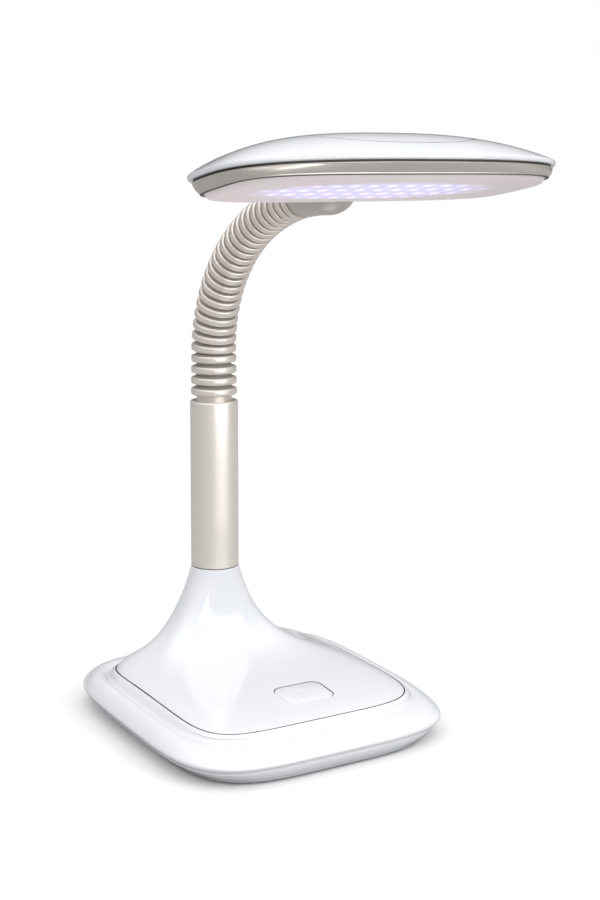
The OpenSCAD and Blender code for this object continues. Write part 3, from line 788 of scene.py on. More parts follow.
def base_rim_sizes():
    """Half width and half depth of the base at its widest line."""
    return node_size("base_rim", 0) / 2.0, node_size("base_rim", 1) / 2.0


def seam_sizes():
    """Half width and half depth of the cover at its seam."""
    return node_size("base_cover", 0) / 2.0, node_size("base_cover", 1) / 2.0


# Squareness of the outlines: 2 is an ellipse, more comes closer to a rectangle
EDGE_N = 4.41
PAN_N = 4.2
SEAM_N = 5.55
STEP_N = 5.3
CREASE_N = 4.8
# How steeply the seam rises behind the front, and how close to the seam the pillow of the cover rises
CROWN_POWER = 4.1
PILLOW_POWER = 8.0
# Where behind the middle the seam starts to fall, and how close to the seam the cover falls with it
BACK_START = 0.1
FALL_POWER = 6
# Shares of the rise of the seam at the widest line and of the swell of the band at the front
EDGE_SHARE = 0.65
SWELL_FRONT = 0.2
# Walls, the ledge under the cover's edge and the joint of pan and rim
WALL = 2.2
LEDGE = 4.0
LEDGE_WALL = 1.0
LEDGE_OUT = 1.6
JOINT_WIDTH = 2.6
PAN_INSIDE = 0.8
# Seam: depth, rounded edge, reach inwards, slack, and the least upward share of a wall's normal; these also
# pick the walls of the seam that get painted shade
GAP_DEPTH = 4.0
GAP_EDGE = 0.3
GAP_INNER = 0.93
GAP_SLACK = 0.05
GAP_UNDER = 0.5
GAP_UPWARD = -0.1
# Insets at the sides and ahead, from the widest line, of the joint of pan and rim and of the pan's foot
PARTING_INSET = (2.6, 1.2)
FOOT_INSET = (10.4, 4.6)
PAN_BULGE = (2.0, 2.6)
PAN_STEPS = 8
# Band of the rim: inset and rise of its lower edge, reach and dip of the crease, share drawn and rings
BAND_INSET = 0.5
BAND_RISE = 1.4
CREASE_OUT = 1.0
CREASE_DIP = 0.1
BAND_END = 0.96
BAND_STEPS = 20
# Steps of the rounded edges: inset at the sides, inset ahead and rise
PAN_FOOT = ((1.4, 1.4, 0.0), (0.8, 0.8, 0.08), (0.35, 0.35, 0.3), (0.1, 0.1, 0.6), (0.0, 0.0, 0.9))
PAN_TOP = ((0.0, 0.0, -0.3), (0.1, 0.1, -0.1), (0.3, 0.3, 0.0), (JOINT_WIDTH, JOINT_WIDTH, 0.0))
RIM_FOOT = ((0.3, 0.3, 0.0), (0.1, 0.1, 0.1), (0.0, 0.0, 0.3))
# Inside of the rim under the step and the band, and its widest line: inset, rise and share of the lift
STEP_INSIDE = 1.2
BAND_INSIDE = ((0.8, 1.0), (0.4, 1.6))
EDGE_INSIDE = (4.2, -0.6)
EDGE_ROUND = (
    (1.25, -1.8, 0.5),
    (0.5, -1.05, 1.0),
    (0.13, -0.5, 1.0),
    (0.0, 0.0, 1.0),
    (0.05, 0.4, 1.0),
    (0.16, 0.75, 1.0),
    (0.31, 1.08, 1.0),
)
# Rolled step, its shoulder, the rim's side of the seam and the cover's edge: distance outwards and rise
STEP_ROLL = ((0.75, 0.0), (0.35, 0.1), (0.0, 0.35), (-0.35, 0.75), (-0.85, 1.4), (-1.35, 2.05))
SHOULDER = ((3.0, -2.0), (2.4, -1.4), (1.9, -0.95), (1.5, -0.65), (1.2, -0.5), (1.0, -0.45))
GAP_LIP = ((0.1, -0.44), (0.0, -0.55), (0.0, -GAP_DEPTH))
COVER_FOOT = 0.1 - GAP_DEPTH
COVER_EDGE = (
    (-LEDGE, COVER_FOOT),
    (0.0, COVER_FOOT),
    (0.0, -0.35),
    (-0.05, -0.18),
    (-0.18, -0.05),
    (-0.4, 0.02),
)


def parting_sizes():
    """Half width and half depth of the base at the joint of pan and rim."""
    a, b = base_rim_sizes()
    return a - PARTING_INSET[0], b - PARTING_INSET[1]


def pan_rings():
    """Outlines of the lower pan from its floor up the wall and down inside."""
    a, b = base_rim_sizes()
    part = parting_sizes()
    foot = (a - FOOT_INSET[0], b - FOOT_INSET[1])
    low = node_low("base_pan", 2)
    top = bpy.context.scene.lamp_base.parting_height
    rings = inset_rings(foot, PAN_N, low, PAN_FOOT)
    heights = (low + PAN_FOOT[-1][2], top + PAN_TOP[0][2])
    rings += side_rings(foot, part, (PAN_N, EDGE_N), heights, PAN_BULGE, PAN_STEPS)
    inside = WALL + PAN_INSIDE
    rings += inset_rings(part, EDGE_N, top, PAN_TOP)
    rings += inset_rings(foot, PAN_N, low, [(inside, inside, WALL)])
    return rings


def edge_ring(inset, up, share=1.0):
    """Outline near the widest line of the rim."""
    base = bpy.context.scene.lamp_base
    a, b = base_rim_sizes()
    lift = EDGE_SHARE * base.crown_rise * share
    return outline(a - inset, b - inset, EDGE_N, base.edge_height + up, 0.0, lift)


def seam_ring(grow, up, n=SEAM_N):
    """Outline near the seam of the cover; up is measured from the seam."""
    base = bpy.context.scene.lamp_base
    a, b = seam_sizes()
    return outline(a + grow, b + grow, n, base.seam_height + up, 0.0, base.crown_rise, base.back_fall)


def band_ring(t, side=0.0, down=0.0):
    """Outline of the swelling band of the rim: t runs from 0 at the edge to 1 at the crease."""
    base = bpy.context.scene.lamp_base
    a, b = base_rim_sizes()
    sa, sb = seam_sizes()
    out = base.step_width + CREASE_OUT
    height = mix(base.edge_height + BAND_RISE, base.seam_height - base.step_height - CREASE_DIP, t)
    swell = base.swell * 4.0 * t * (1.0 - t)
    return outline(
        mix(a - BAND_INSET, sa + out, t) - side,
        mix(b - BAND_INSET, sb + out, t) - side,
        mix(EDGE_N, CREASE_N, t),
        height + SWELL_FRONT * swell - down,
        0.0,
        mix(EDGE_SHARE, 1.0, t) * base.crown_rise + (1.0 - SWELL_FRONT) * swell,
        base.back_fall * t * t,
    )


def rim_rings():
    """Outlines of the upper rim round its section: outside, rolled step, seam wall, ledge and inside."""
    base = bpy.context.scene.lamp_base
    part = parting_sizes()
    step = base.step_width
    crease = -base.step_height
    floor = -GAP_DEPTH - LEDGE_WALL
    rings = inset_rings(part, EDGE_N, base.parting_height, RIM_FOOT)
    rings += [edge_ring(inset, up, share) for inset, up, share in EDGE_ROUND]
    rings += [band_ring(BAND_END * i / (BAND_STEPS - 1)) for i in range(BAND_STEPS)]
    rings += [seam_ring(step + out, crease + up, CREASE_N) for out, up in STEP_ROLL]
    rings += [seam_ring(out, up, STEP_N) for out, up in SHOULDER]
    rings += [seam_ring(base.seam_gap + out, up) for out, up in GAP_LIP]
    rings += [
        seam_ring(-LEDGE, -GAP_DEPTH),
        seam_ring(-LEDGE, floor),
        seam_ring(LEDGE_OUT, floor, STEP_N),
        seam_ring(step - STEP_INSIDE, crease - WALL, CREASE_N),
    ]
    rings += [band_ring(t, side, WALL) for t, side in BAND_INSIDE]
    rings.append(edge_ring(*EDGE_INSIDE))
    rings += inset_rings(part, EDGE_N, base.parting_height, [(JOINT_WIDTH, JOINT_WIDTH, 0.0)])
    return rings


# Flare: how late its front runs out, how it falls and how soon its outline gets square
FLARE_FRONT = 3.13
FLARE_FALL = 0.92
FLARE_POWER = 2.89
FLARE_SQUARE = 0.94
FLARE_WALL = 2.4
# Rings of the cover's outside: the first one, their number and how they crowd towards the column
FLARE_START = 0.99
FLARE_STEPS = 52
FLARE_CROWD = 1.25
# Rings of the hollow under the cover, from its ceiling to the edge
HOLLOW = (0.12, 0.2, 0.3, 0.42, 0.56, 0.72, 0.92)
# Button: flange below the cover, gap round the cap, its rounded edge, start of its sides with painted shade,
# its ring mark
BUTTON_FLANGE = 1.5
BUTTON_GAP = 0.4
BUTTON_EDGE = 0.45
BUTTON_SHADE_LINE = 0.5
RING_MARK = ((3.9, -0.12), (3.9, 1.0), (3.45, 1.0), (3.45, -0.12))
SLOT_LOW = 5.0
CORNER_STEPS = 12
EDGE_STEPS = 3
# Upright share of a normal under which a face counts as a wall
STEEP = 0.3
TINY = 1e-6


def column_place():
    """Radius of the column and its distance behind the middle of the base."""
    radius = node_size("column_tube", 0) / 2.0
    return radius, node_low("column_tube", 1) + radius


def seam_level(y, depth, share=1.0):
    """Height of the seam at depth y; share is the part of the fall at the back that counts."""
    base = bpy.context.scene.lamp_base
    v = min(max(y / depth, -1.0), 1.0)
    return base.seam_height + base.crown_rise * crown(v) - share * base.back_fall * back_fall(v)


def cover_z(u, y):
    """Height of the cover at ring u and depth y."""
    base = bpy.context.scene.lamp_base
    sb = seam_sizes()[1]
    low = seam_level(y, sb, u**FALL_POWER)
    return mix(
        low + base.pillow_rise * (1.0 - u**PILLOW_POWER),
        base.flare_top,
        (1.0 - u**FLARE_FALL) ** FLARE_POWER,
    )


def cover_ring(u, side=0.0, down=0.0):
    """Outline of the cover: u runs from 0 at the column to 1 at the seam."""
    radius, back = column_place()
    sa, sb = seam_sizes()
    behind = back + radius + (sb - back - radius) * u
    ahead = back - radius - (back - radius + sb) * u**FLARE_FRONT
    ring = outline(
        mix(radius, sa, u) - side,
        (behind - ahead) / 2.0 - side,
        mix(2.0, SEAM_N, u**FLARE_SQUARE),
        0.0,
        (behind + ahead) / 2.0,
    )
    for point in ring:
        point.z = cover_z(u, point.y) - down
    return ring


def cover_height(y):
    """Height of the cover on its middle line, at depth y in front of the column."""
    radius, back = column_place()
    sb = seam_sizes()[1]
    return cover_z(((back - radius - y) / (back - radius + sb)) ** (1.0 / FLARE_FRONT), y)


def cover_rings():
    """Outlines of the cover: the hollow from its ceiling down, the edge, and the outside up to the column."""
    rings = [cover_ring(u, FLARE_WALL * (1.0 - u**FLARE_SQUARE), WALL * math.sqrt(u)) for u in HOLLOW]
    rings += [seam_ring(grow, up) for grow, up in COVER_EDGE]
    for i in range(1, FLARE_STEPS + 1):
        rings.append(cover_ring(FLARE_START * (1.0 - i / FLARE_STEPS) ** FLARE_CROWD))
    return rings


def button_box():
    """Middle and half sizes of the button's top in plan, in millimetres, without its flange."""
    low, high = NODE_BOXES["power_button"]
    middle = [(low[i] + high[i]) / 2.0 / MM for i in (0, 1)]
    half = [(high[i] - low[i]) / 2.0 / MM - BUTTON_FLANGE for i in (0, 1)]
    return middle, half


def rounded_block(name, middle, half, low, high, corner):
    """Block with upright rounded corners, from a cube whose upright edges are bevelled."""
    bpy.ops.object.select_all(action="DESELECT")
    bpy.ops.mesh.primitive_cube_add(
        size=1.0,
        location=(middle[0] * MM, middle[1] * MM, (low + high) / 2.0 * MM),
        scale=(2.0 * half[0] * MM, 2.0 * half[1] * MM, (high - low) * MM),
    )
    piece = name_new(name)
    bpy.ops.object.transform_apply(location=True, rotation=True, scale=True)
    bpy.ops.object.mode_set(mode="EDIT")
    bpy.ops.mesh.select_mode(type="EDGE")
    bpy.ops.mesh.select_all(action="DESELECT")
    mesh = bmesh.from_edit_mesh(piece.data)
    for edge in mesh.edges:
        along = edge.verts[0].co - edge.verts[1].co
        edge.select_set(abs(along.x) < TINY and abs(along.y) < TINY)
    bmesh.update_edit_mesh(piece.data)
    bpy.ops.mesh.bevel(offset=corner * MM, offset_type="OFFSET", segments=CORNER_STEPS, affect="EDGES")
    bpy.ops.object.mode_set(mode="OBJECT")
    return piece


def shade_gap(piece):
    """Paints shade on the walls of the seam, below its rounded edges: the dull dark colour of a deep gap's
    shadow.
    """
    a, b = seam_sizes()
    far = 1.0 + (bpy.context.scene.lamp_base.seam_gap + GAP_SLACK) / a

    def in_gap(face):
        x, y, z = [c / MM for c in face.center]
        reach = ((abs(x) / a) ** SEAM_N + (abs(y) / b) ** SEAM_N) ** (1.0 / SEAM_N)
        below = seam_level(y, b) - z
        deep = GAP_EDGE < below < GAP_DEPTH + GAP_UNDER
        return deep and GAP_INNER < reach < far and face.normal.z > GAP_UPWARD

    shade_faces(piece, painted_gap_shade(), in_gap)


class LAMP_OT_pan(bpy.types.Operator):
    """Lower pan of the base"""

    bl_idname = "lamp.make_pan"
    bl_label = "Base pan"

    def execute(self, context):
        pan = loft("pan_moulding", pan_rings())
        dress(pan, white_finish(), "base", "base_pan")
        return {"FINISHED"}


class LAMP_OT_rim(bpy.types.Operator):
    """Upper rim of the base with its rolled step"""

    bl_idname = "lamp.make_rim"
    bl_label = "Base rim"

    def execute(self, context):
        rim = loft("rim_moulding", rim_rings(), closed=True)
        dress(rim, white_finish(), "base", "base_rim")
        # Painted shade on the walls of the seam
        shade_gap(rim)
        return {"FINISHED"}


class LAMP_OT_cover(bpy.types.Operator):
    """Cover of the base, drawn up into the flare, with the slot of the button"""

    bl_idname = "lamp.make_cover"
    bl_label = "Base cover"

    def execute(self, context):
        base = context.scene.lamp_base
        cover = loft("cover_moulding", cover_rings())
        middle, half = button_box()
        slot = rounded_block(
            "button_slot",
            middle,
            [h + BUTTON_GAP for h in half],
            SLOT_LOW,
            base.flare_top,
            base.button_round + BUTTON_GAP,
        )
        cut(cover, slot)
        smooth(cover)
        dress(cover, white_finish(), "base", "base_cover")
        # Painted shade on the walls of the seam
        shade_gap(cover)

        # Painted shade on the walls of the button's slot
        def in_slot(face):
            x, y, z = [c / MM for c in face.center]
            across = abs(x - middle[0]) < half[0] + BUTTON_FLANGE
            along = abs(y - middle[1]) < half[1] + BUTTON_FLANGE
            return across and along and abs(face.normal.z) < STEEP and z < cover_height(y) - GAP_EDGE

        shade_faces(cover, painted_gap_shade(), in_slot)
        return {"FINISHED"}


class LAMP_OT_button(bpy.types.Operator):
    """Push button, flush with the sloping cover"""

    bl_idname = "lamp.make_button"
    bl_label = "Power button"

    def execute(self, context):
        base = context.scene.lamp_base
        middle, half = button_box()
        front = cover_height(middle[1] - half[1])
        back = cover_height(middle[1] + half[1])
        low = node_low("power_button", 2)
        cap = rounded_block("button_cap", middle, half, low, (front + back) / 2.0, base.button_round)
        bpy.ops.object.mode_set(mode="EDIT")
        bpy.ops.mesh.select_mode(type="FACE")
        bpy.ops.mesh.select_all(action="DESELECT")
        mesh = bmesh.from_edit_mesh(cap.data)
        top = max(vert.co.z for vert in mesh.verts)
        for face in mesh.faces:
            face.select_set(face.calc_center_median().z > top - TINY)
        bmesh.update_edit_mesh(cap.data)
        slope = math.atan2(back - front, 2.0 * half[1])
        bpy.ops.transform.rotate(
            value=-slope,
            orient_axis="X",
            center_override=(middle[0] * MM, middle[1] * MM, top),
        )
        bpy.ops.mesh.bevel(offset=BUTTON_EDGE * MM, segments=EDGE_STEPS, affect="EDGES")
        bpy.ops.object.mode_set(mode="OBJECT")
        tilt = Matrix.Rotation(slope, 4, "X")
        mark = Matrix.Translation((middle[0] * MM, middle[1] * MM, top)) @ tilt
        cut(cap, loft("ring_mark", circles(RING_MARK), closed=True, place=mark))
        smooth(cap)
        dress(cap, white_finish(), "power_button", "power_button")

        # Painted shade on the cap's sides down in the slot
        def in_slot(face):
            y, z = face.center.y / MM, face.center.z / MM
            return abs(face.normal.z) < STEEP and z < cover_height(y) - BUTTON_SHADE_LINE

        shade_faces(cap, painted_gap_shade(), in_slot)
        return {"FINISHED"}


# Column and neck

TUBE_WALL = 1.5
TUBE_ROUND = 1.2
# Undercut at the tube's foot: its depth at the bottom and at the top, its height and the rounding above it
TUBE_UNDERCUT = (1.0, 0.9)
TUBE_UNDERCUT_HEIGHT = 0.5
TUBE_FOOT_ROUND = 0.3
# Height of the painted shade line at the tube's foot
TUBE_FOOT_SHADE = 0.6
# Links of the neck: play, neck and top of the ball, wall of the conduit, floor and chamfer of the socket
BALL_GAP = 0.3
BALL_NECK = 0.4
BALL_TOP = 0.3
CONDUIT_WALL = 1.2
SOCKET_FLOOR = 1.9
SOCKET_CHAMFER = 0.25
# Heights of the groove's end and of the foot of the ball's neck, and length of the ball below its joint
GROOVE_END = 2.9
NECK_START = 3.4
NECK_END = 2.0
# Fillet between rib and groove (distance out, rise) and rounding of the ball (inset, rise)
GROOVE_FILLET = ((0.8, 0.0), (0.35, 0.3))
BALL_ROUND = ((0.12, -1.6), (0.03, -0.8), (0.0, 0.0), (0.0, BALL_TOP))
# Share of the depth of a groove below which its faces get the painted groove shade
GROOVE_SHADE_SHARE = 0.7


class LAMP_OT_column(bpy.types.Operator):
    """Column tube with its undercut foot and rounded top edge"""

    bl_idname = "lamp.make_column"
    bl_label = "Column"

    def execute(self, context):
        radius, back = column_place()
        low, top = node_low("column_tube", 2), node_high("column_tube", 2)
        bore = radius - TUBE_WALL
        foot = low + TUBE_UNDERCUT_HEIGHT
        profile = [(bore, low), (radius - TUBE_UNDERCUT[0], low), (radius - TUBE_UNDERCUT[1], foot)]
        profile += arc((radius - TUBE_FOOT_ROUND, foot + TUBE_FOOT_ROUND), TUBE_FOOT_ROUND, -90, 0, 4)
        profile += [(radius, mix(low, top, share)) for share in (0.33, 0.67)]
        profile += arc((radius - TUBE_ROUND, top - TUBE_ROUND), TUBE_ROUND, 0, 90, 6)
        profile += [(bore, top)]
        place = Matrix.Translation((0.0, back * MM, 0.0))
        tube = loft("column_sleeve", circles(profile), closed=True, place=place)
        dress(tube, champagne_finish(), "base", "column_tube")
        # Painted shade along the foot of the tube, where it meets the flare
        line = (low + TUBE_FOOT_SHADE) * MM
        shade_faces(tube, painted_gap_shade(), lambda face: face.center.z < line)
        return {"FINISHED"}


def rib_profile(radius, socket, ball, neck, pitch):
    """Half section of a neck link: rounded rib, groove floor and the ball inside the next rib."""
    settings = bpy.context.scene.lamp_neck
    half = settings.rib_height / 2.0
    turn = settings.rib_round
    bore = neck - CONDUIT_WALL
    profile = [
        (socket, SOCKET_FLOOR),
        (socket, -half + SOCKET_CHAMFER),
        (socket + SOCKET_CHAMFER, -half),
    ]
    profile += arc((radius - turn, -half + turn), turn, -90, 0, 6)
    profile += arc((radius - turn, half - turn), turn, 0, 90, 6)
    profile += [(socket + out, half + up) for out, up in GROOVE_FILLET]
    profile += [(socket, GROOVE_END), (neck, NECK_START), (neck, pitch - NECK_END)]
    profile += [(ball - inset, pitch + up) for inset, up in BALL_ROUND]
    profile += [(bore, pitch + BALL_TOP), (bore, SOCKET_FLOOR)]
    return profile


class LAMP_OT_neck(bpy.types.Operator):
    """Ribs of the neck sleeve, one for each link"""

    bl_idname = "lamp.make_neck"
    bl_label = "Neck ribs"

    def execute(self, context):
        settings = context.scene.lamp_neck
        places = neck_joints()[0]
        count = len(places) - 1
        pitch = (places[1] - places[0]).length / MM
        low = node_size("neck_link_01", 0) / 2.0
        high = node_size(f"neck_link_{count:02d}", 0) / 2.0
        for i in range(count):
            radius = mix(low, high, i / (count - 1))
            following = mix(low, high, (i + 1) / (count - 1))
            socket = radius - settings.groove_depth
            ball = following - settings.groove_depth - BALL_GAP
            profile = rib_profile(radius, socket, ball, ball - BALL_NECK, pitch)
            node = f"neck_link_{i + 1:02d}"
            place = link_place(i)
            rib = loft(f"neck_rib_{i + 1:02d}", circles(profile), closed=True, place=place)
            dress(rib, sleeve_finish(), node, node)
            back = place.inverted()
            # Painted shade on the faces deep in the grooves, where shadow falls
            edge = (radius - GROOVE_SHADE_SHARE * settings.groove_depth) * MM
            shade_faces(rib, painted_groove_shade(), lambda face: (back @ face.center).xy.length < edge)
        return {"FINISHED"}


# Lamp head

HEAD_HALF_DEPTH = 47.1
# Squareness of lip, crown, bezel and the bead along the bezel's lower edge
HEAD_N = 2.94
CROWN_N = 2.2
BEZEL_N = 4.1
BEAD_N = 4.0
# Section of the dome, the backward shift of its crown, its wall and the rings that it is drawn with
DOME_K = 2.95
DOME_P = 0.92
DOME_BACK = 10.0
DOME_WALL = 2.4
DOME_START = 0.998
DOME_STEPS = 46
DOME_CROWD = 0.8
CROWN_END = 0.02
CEILING_DROP = 4.85
CEILING = (0.1, 0.35, 0.55, 0.72, 0.85, 0.94, 0.99)
CORE_STEPS = 20
# Insets at the sides and ahead of the bezel's lower edge and of the lens flange, from the lip
BEZEL_FALL = (8.2, 6.2)
LENS_INSET = (9.9, 7.9)
# Shelf of the bezel for the lens, the seat above it and the play round the lens
LENS_SHELF = 2.4
LENS_SEAT = 1.6
LENS_PLAY = 0.4
# Bezel: width of its lower lip, rings of its side, height of the painted shade line along its lower edge
BEZEL_LIP = 1.4
BEZEL_STEPS = 8
BEZEL_SHADE_LINE = 0.3
# Steps of the rounded edges: inset at the sides, inset ahead and rise
LIP_STRAIGHT = 0.4
LIP_ROUND = (
    (4.6, 3.6, 0.0),
    (0.9, 0.9, 0.0),
    (0.5, 0.5, 0.13),
    (0.2, 0.2, 0.42),
    (0.05, 0.05, 0.8),
    (0.0, 0.0, 1.2),
)
BEAD = (
    (BEZEL_LIP, BEZEL_LIP, 0.0),
    (0.5, 0.5, 0.0),
    (0.2, 0.2, 0.08),
    (0.0, 0.0, 0.35),
    (-0.1, -0.1, 0.75),
    (-0.15, -0.12, 0.95),
)
BEZEL_FOOT = (-0.6, -0.5, 1.05)
BEZEL_TOP = (
    (2.2, 1.4, -0.5),
    (1.95, 1.15, -0.3),
    (1.95, 1.15, -0.12),
    (2.1, 1.3, 0.0),
    (5.6, 4.3, 0.0),
)
BEZEL_BULGE = (0.5, 0.4)
LENS_ROUND = (
    (3.8, 5.6, 0.0),
    (2.8, 4.3, 0.03),
    (2.1, 3.4, 0.14),
    (1.5, 2.5, 0.42),
    (1.05, 1.75, 0.85),
    (0.8, 1.1, 1.45),
)
LENS_NECK = (0.5, 0.55, -0.3)
LENS_INSIDE = (3.6, 3.3, 0.0)
LENS_FLOOR = (4.4, 5.3, 1.5)
LENS_FLANGE = ((0.5, 0.5, 0.0), (0.0, 0.0, 0.0), (0.0, 0.0, 1.3), (3.4, 3.1, 1.3))


def head_sizes():
    """Half width and half depth of the lamp head."""
    return node_size("head_shell", 0) / 2.0, HEAD_HALF_DEPTH


def lens_sizes():
    """Half width and half depth of the lens flange."""
    a, b = head_sizes()
    return a - LENS_INSET[0], b - LENS_INSET[1]


def dome_rise(k):
    """Share of the dome's height at ring scale k."""
    return (1.0 - k**DOME_K) ** DOME_P


def dome_ring(k, sink=0.0, grow=0.0):
    """Outline of the dome: k runs from 1 at the lip to 0 at the crown."""
    head = bpy.context.scene.lamp_head
    a, b = head_sizes()
    rise = dome_rise(k)
    return outline(
        a * k + grow,
        b * k + grow,
        mix(CROWN_N, HEAD_N, k),
        mix(head.lip_height, head.dome_height, rise) - sink,
        DOME_BACK * rise,
    )


def shell_rings():
    """Outlines of the shell: inside from the ceiling down, the rounded lip, and the dome up to its crown."""
    head = bpy.context.scene.lamp_head
    a, b = head_sizes()
    gap = head.gap_height / 2.0
    lip = head.lip_height
    rings = []
    for k in CEILING:
        rise = dome_rise(k)
        rings.append(
            outline(
                (a - DOME_WALL) * k,
                (b - DOME_WALL) * k,
                mix(CROWN_N, HEAD_N, k),
                mix(lip, head.dome_height - CEILING_DROP, rise),
                DOME_BACK * rise,
            )
        )
    rings += inset_rings((a, b), HEAD_N, gap, LIP_ROUND)
    rings.append(outline(a, b, HEAD_N, lip - LIP_STRAIGHT))
    for i in range(DOME_STEPS):
        rings.append(dome_ring(DOME_START * math.cos(math.pi / 2.0 * (i / DOME_STEPS)) ** DOME_CROWD))
    rings.append(dome_ring(CROWN_END))
    return rings


# Oval inlay of the dome: half sizes, squareness, place, step, gap and depth, and the heights of its prism
INLAY_HALF = (50.0, 28.0)
INLAY_N = 2.6
INLAY_BACK = -8.0
INLAY_STEP = 0.02
INLAY_GAP = 0.55
INLAY_DEPTH = 1.0
INLAY_PLAY = 0.05
INLAY_LOW = 7.0
INLAY_OVER = 8.0
# Faces of the pocket that get painted shade: upright share of a wall's normal, and reach of its walls and of
# its floor
POCKET_STEEP = 0.2
POCKET_WALL = (0.8, 1.02)
POCKET_FLOOR = 0.999
POCKET_UNDER = 1.0


def inlay_prism(name, shrink):
    """Upright prism on the outline of the oval inlay."""
    high = bpy.context.scene.lamp_head.dome_height + INLAY_OVER
    half = (INLAY_HALF[0] - shrink, INLAY_HALF[1] - shrink)
    rings = [outline(*half, INLAY_N, z, INLAY_BACK) for z in (INLAY_LOW, high)]
    return loft(name, rings, place=head_place())


def shade_pocket(piece):
    """Paints shade on the inside of the inlay's pocket and the inlay's edge: the dull dark colour of a gap's
    shadow.
    """
    back = head_place().inverted()
    turn = back.to_3x3()

    def in_pocket(face):
        x, y, z = [c / MM for c in back @ face.center]
        up = (turn @ face.normal).z
        reach = (abs(x) / INLAY_HALF[0]) ** INLAY_N + (abs(y - INLAY_BACK) / INLAY_HALF[1]) ** INLAY_N
        wall = abs(up) < POCKET_STEEP and POCKET_WALL[0] < reach < POCKET_WALL[1]
        floor = up > POCKET_STEEP and reach < POCKET_FLOOR and piece.name == "dome_moulding"
        return z > INLAY_LOW - POCKET_UNDER and (wall or floor)

    shade_faces(piece, painted_gap_shade(), in_pocket)


def dome_core(name, drop):
    """Solid under the dome, its top lowered by drop."""
    rings = [dome_ring(1.0 - i / CORE_STEPS, drop) for i in range(1, CORE_STEPS)]
    rings.append(dome_ring(CROWN_END, drop))
    return loft(name, rings, place=head_place())


class LAMP_OT_shell(bpy.types.Operator):
    """Gloss dome of the head with the pocket of its oval inlay"""

    bl_idname = "lamp.make_shell"
    bl_label = "Head shell"

    def execute(self, context):
        shell = loft("dome_moulding", shell_rings(), place=head_place())
        pocket = inlay_prism("inlay_pocket", 0.0)
        cut(pocket, dome_core("pocket_core", INLAY_DEPTH))
        cut(shell, pocket)
        smooth(shell)
        dress(shell, white_finish(), "head", "head_shell")
        # Painted shade in the inlay's pocket
        shade_pocket(shell)
        return {"FINISHED"}


class LAMP_OT_inlay(bpy.types.Operator):
    """Oval inlay let into the dome, a small step lower than the dome"""

    bl_idname = "lamp.make_inlay"
    bl_label = "Shell inlay"

    def execute(self, context):
        inlay = dome_core("inlay_panel", INLAY_STEP)
        cut(inlay, inlay_prism("inlay_edge", INLAY_GAP), "INTERSECT")
        cut(inlay, dome_core("panel_core", INLAY_DEPTH - INLAY_PLAY))
        smooth(inlay)
        dress(inlay, white_finish(), "head", "shell_inlay")
        # Painted shade on the inlay's edge
        shade_pocket(inlay)
        return {"FINISHED"}


def bezel_low():
    """Height of the lower edge of the bezel in the head's frame."""
    head = bpy.context.scene.lamp_head
    return -head.gap_height / 2.0 - head.bezel_height


def bezel_rings():
    """Outlines of the bezel round its section, with a small bead along the lower edge."""
    a, b = head_sizes()
    la, lb = lens_sizes()
    fall = (a - BEZEL_FALL[0], b - BEZEL_FALL[1])
    gap = -bpy.context.scene.lamp_head.gap_height / 2.0
    low = bezel_low()
    shelf = low + LENS_SHELF
    foot = (fall[0] - BEZEL_FOOT[0], fall[1] - BEZEL_FOOT[1])
    top = (a - BEZEL_TOP[0][0], b - BEZEL_TOP[0][1])
    heights = (low + BEZEL_FOOT[2], gap + BEZEL_TOP[0][2])
    rings = inset_rings(fall, BEZEL_N, low, BEAD)
    rings += inset_rings(fall, BEAD_N, low, [BEZEL_FOOT])
    rings += side_rings(foot, top, (BEAD_N, HEAD_N), heights, BEZEL_BULGE, BEZEL_STEPS)
    rings += inset_rings((a, b), HEAD_N, gap, BEZEL_TOP)
    rings += [outline(la + LENS_PLAY, lb + LENS_PLAY, BEZEL_N, z) for z in (shelf + LENS_SEAT, shelf)]
    rings += inset_rings(fall, BEZEL_N, shelf, [(BEZEL_LIP, BEZEL_LIP, 0.0)])
    return rings


class LAMP_OT_bezel(bpy.types.Operator):
    """Satin frame below the dome"""

    bl_idname = "lamp.make_bezel"
    bl_label = "Head bezel"

    def execute(self, context):
        bezel = loft("bezel_frame", bezel_rings(), closed=True, place=head_place())
        dress(bezel, bezel_finish(), "head", "head_bezel")
        # Painted shade along the bezel's lower edge
        back = head_place().inverted()
        line = (bezel_low() + BEZEL_SHADE_LINE) * MM
        shade_faces(bezel, painted_gap_shade(), lambda face: (back @ face.center).z < line)
        return {"FINISHED"}


def lens_rings():
    """Outlines of the lens: the tray's outside from its flat bottom up, the flange and the inside."""
    half = lens_sizes()
    edge = bezel_low()
    low = edge - bpy.context.scene.lamp_head.lens_drop
    rings = inset_rings(half, BEZEL_N, low, LENS_ROUND)
    rings += inset_rings(half, BEZEL_N, edge, [LENS_NECK])
    rings += inset_rings(half, BEZEL_N, edge + LENS_SHELF, LENS_FLANGE)
    rings += inset_rings(half, BEZEL_N, edge, [LENS_INSIDE])
    rings += inset_rings(half, BEZEL_N, low, [LENS_FLOOR])
    return rings


class LAMP_OT_lens(bpy.types.Operator):
    """Frosted lens and the light behind it"""

    bl_idname = "lamp.make_lens"
    bl_label = "Lens and light"

    def execute(self, context):
        glow = tuple(context.scene.lamp_finish.glow)
        lens = loft("lens_tray", lens_rings(), place=head_place())
        dress(lens, lens_finish(), "head", "lens")
        # Painted light: the board glows in the colour of the emitters' light falling on it
        board = lit_finish("Lit board", (0.6, 0.58, 0.75), glow, 0.75)
        emitters = lit_finish("Lit emitters", (0.9, 0.9, 0.95), (0.96, 0.96, 1.0), 3.0)
        finish_mesh(frame["nodes"]["led_board"], board)
        finish_mesh(frame["nodes"]["leds"], emitters)
        return {"FINISHED"}


